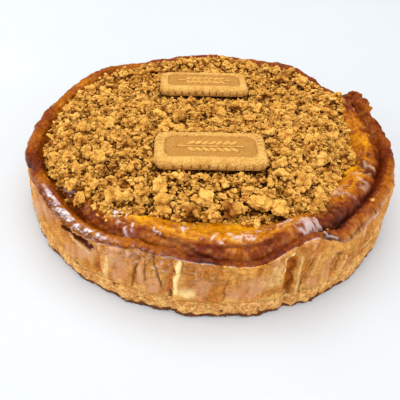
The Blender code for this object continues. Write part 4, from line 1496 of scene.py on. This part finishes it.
@dataclass
class CrumbTopping:
    """The heap: a bed with the relief of fine crumb, and loose crumbs of four sizes piled on it."""

    form: CakeForm
    seed: int = 7
    lowered: float = 0.0030
    steps: int = 520
    rows: int = 56
    top: float = 0.0528
    front_stretch: float = 1.22
    spare: float = 1.35
    # The last number is how far over the bed a kind may still settle
    kinds: tuple[CrumbKind, ...] = (
        CrumbKind("crumbs_large", 125, 0.0112, 0.0066, 14, (9, 15), 1100, 0.04, 0.52, 0.02),
        CrumbKind("crumbs_medium", 700, 0.0066, 0.0034, 12, (6, 11), 250, 0.10, 0.36, 0.0042),
        CrumbKind("crumbs_small", 2500, 0.0036, 0.0018, 10, (3, 6), 64, 0.10, 0.22, 0.0034),
        CrumbKind("crumbs_fine", 5200, 0.0018, 0.0008, 6, (1, 2), 20, 0.0, 0.0, 0.0030),
    )
    # Crumbs that lie on the skin past the heap, as (x, y, size)
    strays: Sequence[tuple[float, float, float]] = (
        (-0.0834, -0.0701, 0.0030), (-0.0754, -0.0754, 0.0045), (-0.0591, -0.0834, 0.0045),
        (-0.0568, -0.0870, 0.0020), (-0.0541, -0.0817, 0.0050), (-0.0525, -0.0888, 0.0022),
        (-0.0503, -0.0883, 0.0020), (-0.0520, -0.0903, 0.0016), (-0.0328, -0.0813, 0.0014),
        (-0.0263, -0.0860, 0.0017), (-0.0130, -0.0921, 0.0034), (-0.0076, -0.0887, 0.0020),
        (-0.0164, -0.0873, 0.0024), (0.0005, -0.0843, 0.0016), (0.0567, -0.0754, 0.0032),
        (0.0720, -0.0756, 0.0017), (0.0885, -0.0646, 0.0026), (0.0605, -0.0882, 0.0024),
        (0.0775, -0.0567, 0.0028), (0.0713, -0.0639, 0.0022), (0.0815, -0.0511, 0.0024),
    )

    def build(self, finish: bpy.types.Material) -> list[bpy.types.Object]:
        """Makes and dresses the bed and every size of crumb."""
        pieces = [self.bed(finish)]
        pile = Pile(self.form, self.lowered)
        for number, kind in enumerate(self.kinds):
            rule = random.Random(self.seed + number)
            shapes = [self.crumb_shape(kind, rule) for _ in range(kind.shapes)]
            places = self.large_places(kind) if number == 0 else self.places(kind, self.seed + number)
            if number == 1:
                places = list(self.strays) + places
            pieces.append(self.scatter(kind, shapes, places, pile, rule, finish))
        return pieces

    def bed(self, finish: bpy.types.Material) -> bpy.types.Object:
        """The heap's core, which shows as fine crumb between the loose ones, painted dark as their shade.
        """
        ring = np.linspace(-180, 180, self.steps, endpoint=False)
        parts = np.concatenate([[0.45, 0.80, 0.93], 1 - np.linspace(0, 1, self.rows)[:-1] ** 1.25])
        under = np.arange(len(parts)) < 3
        azimuth, part = np.meshgrid(ring, parts)
        reach = self.form.heap_reach(azimuth) - 0.002
        radius = reach * part
        skin = self.form.skin_height(azimuth, radius)
        above = self.form.heap_top(azimuth, part) - self.lowered
        above = np.maximum(above, skin + 0.0004)
        height = np.where(under[:, None], skin - 0.0002, above)
        base = polar(azimuth, radius, height)
        lumps = 0.0011 * rough(base, 0.0052, Seed.BED_LUMPS, 2)
        lumps = lumps + 0.0006 * rough(base, 0.0022, Seed.BED_GRAINS, 2)
        raised = lumps * ~under[:, None] * (1 - 0.6 * ease(part, 0.93, 1.0))
        points = base + np.array([0, 0, 1.0]) * raised[..., None]
        # Painted shade: the bed is dark, a little lighter on its raised lumps
        tone = np.clip(0.02 + 110 * lumps, 0, 0.22)
        body = ring_body("crumb_bed", points, {"tone": tone, "bed": np.ones(tone.shape)})
        dress(body, finish, "crumb_topping")
        return body

    def crumb_shape(self, kind: CrumbKind, rule: random.Random) -> tuple[Array, Array]:
        """One broken lump about 1 across: small chunks grown together, with a rough skin.

        Args:
            kind: The size that it is for.
            rule: Where its chances come from.

        Returns:
            Its points (count, 3) and triangles (count, 3).
        """
        shape = bmesh.new()
        for lobe in range(rule.randint(*kind.lobes)):
            reach = 0.0 if lobe == 0 else 0.34
            size = rule.uniform(0.20, 0.34) if lobe else 0.36
            chunk = bmesh.ops.create_icosphere(shape, subdivisions=1, radius=size)["verts"]
            for vertex in chunk:
                vertex.co *= rule.uniform(0.82, 1.15)
            way = Vector([rule.gauss(0, 1) for _ in range(3)]).normalized() * reach
            turn = Matrix.Rotation(rule.uniform(0, math.tau), 4, way.normalized() if lobe else "Z")
            squash = Matrix.Diagonal((1.0, rule.uniform(0.7, 1.0), rule.uniform(0.6, 0.95), 1.0))
            bmesh.ops.transform(shape, matrix=Matrix.Translation(way) @ turn @ squash, verts=chunk)
        mesh = bpy.data.meshes.new("crumb_shape")
        shape.to_mesh(mesh)
        shape.free()
        holder = bpy.data.objects.new("crumb_shape", mesh)
        bpy.context.scene.collection.objects.link(holder)
        skin = holder.modifiers.new("skin", "REMESH")
        skin.mode = "VOXEL"
        skin.voxel_size = 0.045 if kind.faces > 600 else 0.07
        thin = holder.modifiers.new("thin", "DECIMATE")
        thin.use_collapse_triangulate = True
        whole = holder.evaluated_get(bpy.context.evaluated_depsgraph_get()).to_mesh()
        whole.calc_loop_triangles()
        thin.ratio = min(1.0, kind.faces / len(whole.loop_triangles))
        bpy.context.view_layer.update()
        done = holder.evaluated_get(bpy.context.evaluated_depsgraph_get()).to_mesh()
        done.calc_loop_triangles()
        points = np.empty(len(done.vertices) * 3)
        done.vertices.foreach_get("co", points)
        faces = np.empty(len(done.loop_triangles) * 3, np.int32)
        done.loop_triangles.foreach_get("vertices", faces)
        bpy.data.objects.remove(holder, do_unlink=True)
        bpy.data.meshes.remove(mesh)
        points = points.reshape(-1, 3)
        offset = rule.uniform(0, 50)
        out = points / np.maximum(np.linalg.norm(points, axis=1, keepdims=True), 1e-6)
        swell = 0.07 * rough(points + offset, 0.19, Seed.CRUMB_SWELL, 2)
        swell = swell + 0.05 * folds(points + offset, 0.12, Seed.CRUMB_FOLDS, 2)
        points = points + out * swell[:, None]
        return points / (np.ptp(points, axis=0).max()), faces.reshape(-1, 3)

    def large_places(self, kind: CrumbKind) -> list[tuple[float, float, float]]:
        """Places of the large crumbs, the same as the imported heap's lumps have, as (x, y, size)."""
        rule = random.Random(self.seed)
        places = list(self.form.front_lumps)
        tries = 0
        while len(places) < kind.count and tries < kind.count * 60:
            tries += 1
            size = kind.largest + (kind.smallest - kind.largest) * len(places) / kind.count
            azimuth = rule.uniform(-180, 180)
            part = math.sqrt(rule.uniform(0, 1))
            reach = float(self.form.heap_reach(np.array([azimuth]))[0]) - size * 0.62
            x = reach * part * math.cos(math.radians(azimuth))
            y = reach * part * math.sin(math.radians(azimuth))
            apart = all(
                math.hypot(x - other_x, y - other_y) > (size + other) * kind.spacing
                for other_x, other_y, other in places
            )
            if apart and self.clear_of_biscuits(np.array([[x, y, size]]), 0.0012)[0]:
                places.append((x, y, size))
        return places

    def places(self, kind: CrumbKind, seed: int) -> list[tuple[float, float, float]]:
        """Seeded places for a kind of crumb, largest first.

        Args:
            kind: The kind of crumb.
            seed: Which chances they come from.

        Returns:
            Places as (x, y, size), some more than the kind's count, as the pile turns some away.
        """
        rule = np.random.default_rng(seed)
        wanted = int(kind.count * self.spare)
        tries = wanted * 5
        size = kind.smallest + (kind.largest - kind.smallest) * np.linspace(1, 0, tries) ** 1.5
        azimuth = rule.uniform(-180, 180, tries)
        radius = (self.form.heap_reach(azimuth) - size * 0.3) * np.sqrt(rule.uniform(0, 1, tries))
        spots = polar(azimuth, radius, size)
        spots = spots[self.clear_of_biscuits(spots, -0.0004)]
        if not kind.spacing:
            return [tuple(spot) for spot in spots[:: max(len(spots) // wanted, 1)]]
        kept = np.full((len(spots), 3), 9.0)
        count = 0
        for x, y, breadth in spots:
            away = np.hypot(kept[:count, 0] - x, kept[:count, 1] - y)
            if (away > (breadth + kept[:count, 2]) * kind.spacing).all():
                kept[count] = (x, y, breadth)
                count += 1
        step = max(count / wanted, 1.0)
        return [tuple(kept[int(number * step)]) for number in range(min(count, wanted))]

    def clear_of_biscuits(self, spots: Array, clearance: float) -> Array:
        """Which crumbs keep off both biscuits.

        Args:
            spots: Rows of x, y and size.
            clearance: The gap that they keep.

        Returns:
            True for each row that is clear.
        """
        clear = np.ones(len(spots), bool)
        for number in range(len(self.form.biscuits)):
            back = np.array(self.form.biscuit_frame(number).inverted())
            local = spots[:, :2] @ back[:2, :2].T + self.form.rim_height * back[:2, 2] + back[:2, 3]
            past_x = np.abs(local[:, 0]) - self.form.biscuit_length / 2 - spots[:, 2] / 2 - clearance
            past_y = np.abs(local[:, 1]) - self.form.biscuit_width / 2 - spots[:, 2] / 2 - clearance
            clear &= (past_x >= 0) | (past_y >= 0)
        return clear

    def scatter(
        self,
        kind: CrumbKind,
        shapes: list[tuple[Array, Array]],
        places: list[tuple[float, float, float]],
        pile: Pile,
        rule: random.Random,
        finish: bpy.types.Material,
    ) -> bpy.types.Object:
        """Lays crumbs of one kind on the pile as one piece.

        Args:
            kind: The kind of crumb.
            shapes: Points and triangles of its shapes.
            places: Where each crumb goes and its size.
            pile: The pile so far, which grows.
            rule: Where its chances come from.
            finish: Its material.

        Returns:
            The new piece.
        """
        points, faces, tones = [], [], []
        total = 0
        for x, y, size in places:
            if len(points) >= kind.count:
                break
            shape, triangles = shapes[rule.randrange(len(shapes))]
            turn = Matrix.Rotation(rule.uniform(0, math.tau), 3, "Z")
            turn = turn @ Matrix.Rotation(rule.uniform(0, math.tau), 3, "X")
            deeper = self.front_stretch if (x, y, size) in self.form.front_lumps else 1.0
            squash = Matrix.Diagonal((1.0, deeper, rule.uniform(0.75, 1.0)))
            stretch = Matrix.Diagonal((rule.uniform(0.95, 1.3), rule.uniform(0.8, 1.05), 1.0))
            tone = min(max(rule.gauss(0.60, 0.20), 0.18), 1.0)
            if pile.height_over_bed(x, y) > kind.ceiling and rule.random() > 0.12:
                continue
            middle = pile.settle(x, y, size, kind.sink)
            middle = min(middle, self.top - size * 0.5)
            matrix = np.array(squash @ turn @ stretch) * size
            lump = shape @ matrix.T
            depth = np.linalg.norm(shape, axis=1)
            points.append(lump + np.array([x, y, middle]))
            faces.append(triangles + total)
            total += len(shape)
            # Painted shade: each crumb darker in its hollows and on its underside
            shade = tone + 1.4 * (depth - depth.mean()) - 0.26 * ease(-lump[:, 2] / size, 0.0, 0.45)
            tones.append(np.clip(shade, 0.06, 1))
        masks = {"tone": np.concatenate(tones)}
        piece = new_mesh(kind.name, np.concatenate(points), np.concatenate(faces), masks)
        piece.data.set_sharp_from_angle(angle=math.radians(32))
        dress(piece, finish, "crumb_topping")
        return piece


@dataclass
class Biscuit:
    """An oblong pressed biscuit with a notched side, a rounded border and a sunk panel."""

    form: CakeForm
    number: int
    steps: int = 480
    corner: float = 0.0065
    wall_height: float = 0.0018
    round_in: float = 0.0034
    panel_inset: float = 0.0057
    panel_corner: float = 0.0052
    panel_depth: float = 0.0010
    notch_spacing: float = 0.0050
    notch_depth: float = 0.0011
    notch_top: float = 0.0044

    def build(self, finish: bpy.types.Material) -> bpy.types.Object:
        """Makes and dresses the biscuit in its place."""
        outlines, heights, sunk, pressed = self.rows()
        rings = np.concatenate([outlines, heights[..., None]], axis=-1)
        grit = 0.00010 * rough(rings + self.number, 0.0011, Seed.BISCUIT_GRIT + self.number, 3)
        waves = 0.00014 * rough(rings + self.number, 0.0070, Seed.BISCUIT_WAVES + self.number, 2)
        above = ease(heights, 0.0, 0.0008)
        rings = rings + facing(rings) * ((grit + waves) * above)[..., None]
        name = self.form.biscuits[self.number][0]
        piece = ring_body(f"{name}_baked", rings, {"sunk": sunk, "pressed": pressed})
        piece.matrix_world = self.form.biscuit_frame(self.number)
        dress(piece, finish, name)
        return piece

    def outline(self, inset: Array, corner: Array) -> tuple[Array, Array]:
        """The biscuit's outline drawn in by an inset.

        Args:
            inset: How far in (rows,).
            corner: The corner's radius (rows,).

        Returns:
            Points (rows, steps, 2) and the distance along the outer outline (steps,).
        """
        half_x = self.form.biscuit_length / 2 - inset[:, None]
        half_y = self.form.biscuit_width / 2 - inset[:, None]
        bend = np.minimum(corner[:, None], half_y)
        outer_x = self.form.biscuit_length / 2 - self.corner
        outer_y = self.form.biscuit_width / 2 - self.corner
        arc = math.pi / 2 * self.corner
        quarter = outer_x + outer_y + arc
        way = np.arange(self.steps) / self.steps * 4 * quarter
        side = (way // quarter).astype(int)
        along = way - side * quarter
        flip = side % 2 == 1
        along = np.where(flip, quarter - along, along)
        up = np.clip(along / outer_y, 0, 1)
        turn = np.clip((along - outer_y) / self.corner, 0, math.pi / 2)
        back = np.clip((along - outer_y - arc) / outer_x, 0, 1)
        x = (half_x - bend) * (1 - back) + bend * np.cos(turn)
        y = (half_y - bend) * up + bend * np.sin(turn)
        sign_x = np.where((side == 1) | (side == 2), -1, 1)
        sign_y = np.where(side >= 2, -1, 1)
        return np.stack([x * sign_x, y * sign_y], axis=-1), way

    def rows(self) -> tuple[Array, Array, Array, Array]:
        """Outline, height, sinking and the painted shade of the pressed lines of each row, from the
        underside inward.
        """
        top = self.form.biscuit_height
        plan: list[tuple[float, float, float]] = []
        plan += [(0.010, 0.0, 0.0), (0.0022, 0.0, 0.0), (0.0010, 0.0002, 0.3)]
        for part in np.linspace(0, 1, 7):
            plan.append((0.0006 * (1 - part), 0.0006 + self.wall_height * part, 1.0))
        rise = top - 0.0002 - 0.0006 - self.wall_height
        for part in np.linspace(0, 1, 15)[1:]:
            angle = part * math.pi / 2
            level = top - 0.0002 - rise * (1 - math.sin(angle))
            plan.append((self.round_in * (1 - math.cos(angle)), level, 1 - part))
        plan.append(((self.round_in + self.panel_inset) / 2, top - 0.0001, 0.0))
        for part in np.linspace(0, 1, 7):
            level = top - 0.0001 - (self.panel_depth - 0.0001) * ease(part, 0, 1)
            plan.append((self.panel_inset - 0.0005 + 0.0012 * part, level, 0.0))
        last = self.form.biscuit_width / 2 - 0.0003
        for inset in np.linspace(self.panel_inset + 0.0009, last, 24):
            plan.append((inset, top - self.panel_depth, 0.0))
        inset, height, side = (np.array(values) for values in zip(*plan))
        corner = np.maximum(self.corner - inset, self.panel_corner)
        corner = corner * ease(-inset, -last, -self.panel_inset - 0.004)
        outline, way = self.outline(inset, np.maximum(corner, 0.0002))
        rows = len(plan)
        level = np.broadcast_to(height[:, None], (rows, self.steps)).copy()
        notch = hump((way / self.notch_spacing) % 1 - 0.5, 0.09)[None] * ease(side, 0.0, 0.5)[:, None]
        notch = notch * ease(-level, -self.notch_top, -self.notch_top + 0.0014)
        notch = notch * ease(level, 0.0002, 0.001)
        shrink = 1 - notch * self.notch_depth / np.maximum(np.linalg.norm(outline, axis=-1), 0.004)
        outline = outline * shrink[..., None]
        grooves = self.end_grooves(outline, inset)
        motif = self.motif(outline)
        level = level - 0.0007 * grooves + 0.0008 * motif
        sunk = ease(inset, self.panel_inset - 0.0005, self.panel_inset + 0.0006)[:, None]
        sunk = sunk * (1 - 0.8 * ease(motif, 0.5, 0.9))
        # Painted shade in the notches, the grooves, round the motif and at the foot of the panel's wall
        foot = hump(inset - self.panel_inset - 0.0006, 0.0005)[:, None] * 0.40
        outlined = 0.75 * hump(motif - 0.22, 0.2)
        pressed = np.maximum.reduce([0.7 * notch, 0.7 * grooves, outlined, foot + 0 * level])
        return outline, level, sunk, pressed

    def end_grooves(self, outline: Array, inset: Array) -> Array:
        """Short grooves pressed into the border near its corners."""
        x, y = outline[..., 0], outline[..., 1]
        border = ease(inset, 0.0012, 0.0022)
        border = border * ease(-inset, -self.panel_inset, -self.panel_inset + 0.0012)
        depth = np.zeros(x.shape)
        for end in (-1, 1):
            for step in range(4):
                centre_y = 0.0020 + 0.0030 * step
                lean = (np.abs(x) - self.form.biscuit_length / 2 + 0.004) * 0.5
                line = hump(y - centre_y - lean * (step + 0.3) / 2, 0.0006) * (np.sign(x) == end)
                depth = np.maximum(depth, line * ease(np.abs(x), 0.0255, 0.0268))
        return depth * border[:, None]

    def motif(self, outline: Array) -> Array:
        """A plain ear of corn on the panel, from 0 to 1."""
        x, y = outline[..., 0], outline[..., 1]
        stem = hump(y, 0.0007) * ease(-np.abs(x), -0.0200, -0.0185)
        raised = stem
        for grain in range(7):
            centre = -0.0110 + 0.0040 * grain
            for side in (-1, 1):
                dx = x - centre
                dy = y * side - 0.0031
                along = dx * 0.85 + dy * 0.53
                across = dy * 0.85 - dx * 0.53
                grain_at = 1 - (along / 0.0033) ** 2 - (across / 0.0014) ** 2
                raised = np.maximum(raised, ease(grain_at, 0.0, 0.6))
        return raised


@dataclass
class Studio:
    """A pale floor, soft light and the camera."""

    camera_place: tuple[float, float, float] = (-0.0052, -0.2533, 0.1966)
    camera_right: tuple[float, float, float] = (0.99813, 0.04047, 0.04584)
    camera_up: tuple[float, float, float] = (-0.06115, 0.65585, 0.75241)
    camera_back: tuple[float, float, float] = (0.00039, -0.75381, 0.65709)
    lens: float = 40.5
    floor_side: float = 8.0
    floor_level: float = -0.0002
    floor_dark: Colour = (0.545, 0.572, 0.594, 1.0)
    floor_light: Colour = (0.565, 0.592, 0.614, 1.0)
    back_sky: float = 0.22
    front_sky: float = 1.15
    ceiling_sky: float = 2.35
    ceiling_from: tuple[float, float] = (0.70, 0.88)
    lights_aim: tuple[float, float, float] = (0.0, 0.0, 0.03)

    def build(self) -> None:
        """Makes all of it."""
        scene = bpy.context.scene
        scene.view_settings.view_transform = "Standard"
        self.build_camera(scene)
        self.build_world(scene)
        self.build_floor()
        self.light("overhead", (-0.22, 0.42, 0.95), 0.75, 3.0)
        self.light("left_box", (-0.85, -0.10, 0.45), 0.5, 2.2)
        self.light("right_box", (0.85, -0.15, 0.45), 0.5, 1.0)

    def build_camera(self, scene: bpy.types.Scene) -> None:
        """Makes the camera at the photo's angle."""
        data = bpy.data.cameras.new("camera")
        data.lens = self.lens
        data.sensor_width = 36.0
        data.clip_start = 0.01
        camera = bpy.data.objects.new("camera", data)
        scene.collection.objects.link(camera)
        turn = Matrix((self.camera_right, self.camera_up, self.camera_back)).transposed().to_4x4()
        camera.matrix_world = Matrix.Translation(self.camera_place) @ turn
        scene.camera = camera

    def build_world(self, scene: bpy.types.Scene) -> None:
        """Lights the scene softly from a bright ceiling over dimmer walls, the front one the brighter."""
        world = bpy.data.worlds.new("studio")
        world.use_nodes = True
        sheet = NodeSheet(world.node_tree)
        direction = sheet.add("ShaderNodeTexCoord").outputs["Generated"]
        way = sheet.add("ShaderNodeSeparateXYZ", {"Vector": direction})
        walls = sheet.between(way.outputs["Y"], -0.5, 0.5, self.front_sky, self.back_sky)
        strength = sheet.between(way.outputs["Z"], *self.ceiling_from, walls, self.ceiling_sky)
        glow = {"Color": (1.0, 1.0, 1.0, 1.0), "Strength": strength}
        background = sheet.add("ShaderNodeBackground", glow)
        sheet.add("ShaderNodeOutputWorld", {"Surface": background.outputs["Background"]})
        scene.world = world

    def build_floor(self) -> None:
        """Makes the floor, with a faint unevenness in its tone."""
        half = self.floor_side / 2
        ways = ((-1, -1), (1, -1), (1, 1), (-1, 1))
        corners = [(x * half, y * half, self.floor_level) for x, y in ways]
        floor = new_mesh("floor", np.array(corners), [[0, 1, 2, 3]], {})
        material, sheet, place = new_finish("pale_floor")
        cloud = sheet.noise(place, 3.0)
        colour = sheet.blend(sheet.between(cloud, 0.3, 0.7), self.floor_dark, self.floor_light)
        close_finish(sheet, {"Base Color": colour, "Roughness": 0.7}, sheet.noise(place, 400.0), 0.00002)
        floor.data.materials.append(material)

    def light(self, name: str, place: Sequence[float], size: float, power: float) -> None:
        """Adds a square soft light that points at the cake.

        Args:
            name: Its name.
            place: Where it hangs.
            size: Its side.
            power: Its power in watts.
        """
        data = bpy.data.lights.new(name, "AREA")
        data.size = size
        data.energy = power
        lamp = bpy.data.objects.new(name, data)
        lamp.location = place
        lamp.rotation_euler = (Vector(self.lights_aim) - Vector(place)).to_track_quat("-Z", "Y").to_euler()
        bpy.context.scene.collection.objects.link(lamp)


def main() -> None:
    """Builds the cake and the studio."""
    logging.basicConfig(level=logging.INFO, format="%(message)s")
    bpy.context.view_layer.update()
    effects = Effects()
    form = CakeForm()
    BiscuitBase(form).build(BakedBaseFinish(effects).build())
    Cheesecake(form).build(BurntCheeseFinish(effects).build())
    CrumbTopping(form).build(CrumbFinish(effects).build())
    biscuit_finish = BiscuitFinish(effects).build()
    for number in range(len(form.biscuits)):
        Biscuit(form, number).build(biscuit_finish)
    Studio().build()


if __name__ == "__main__":
    main()
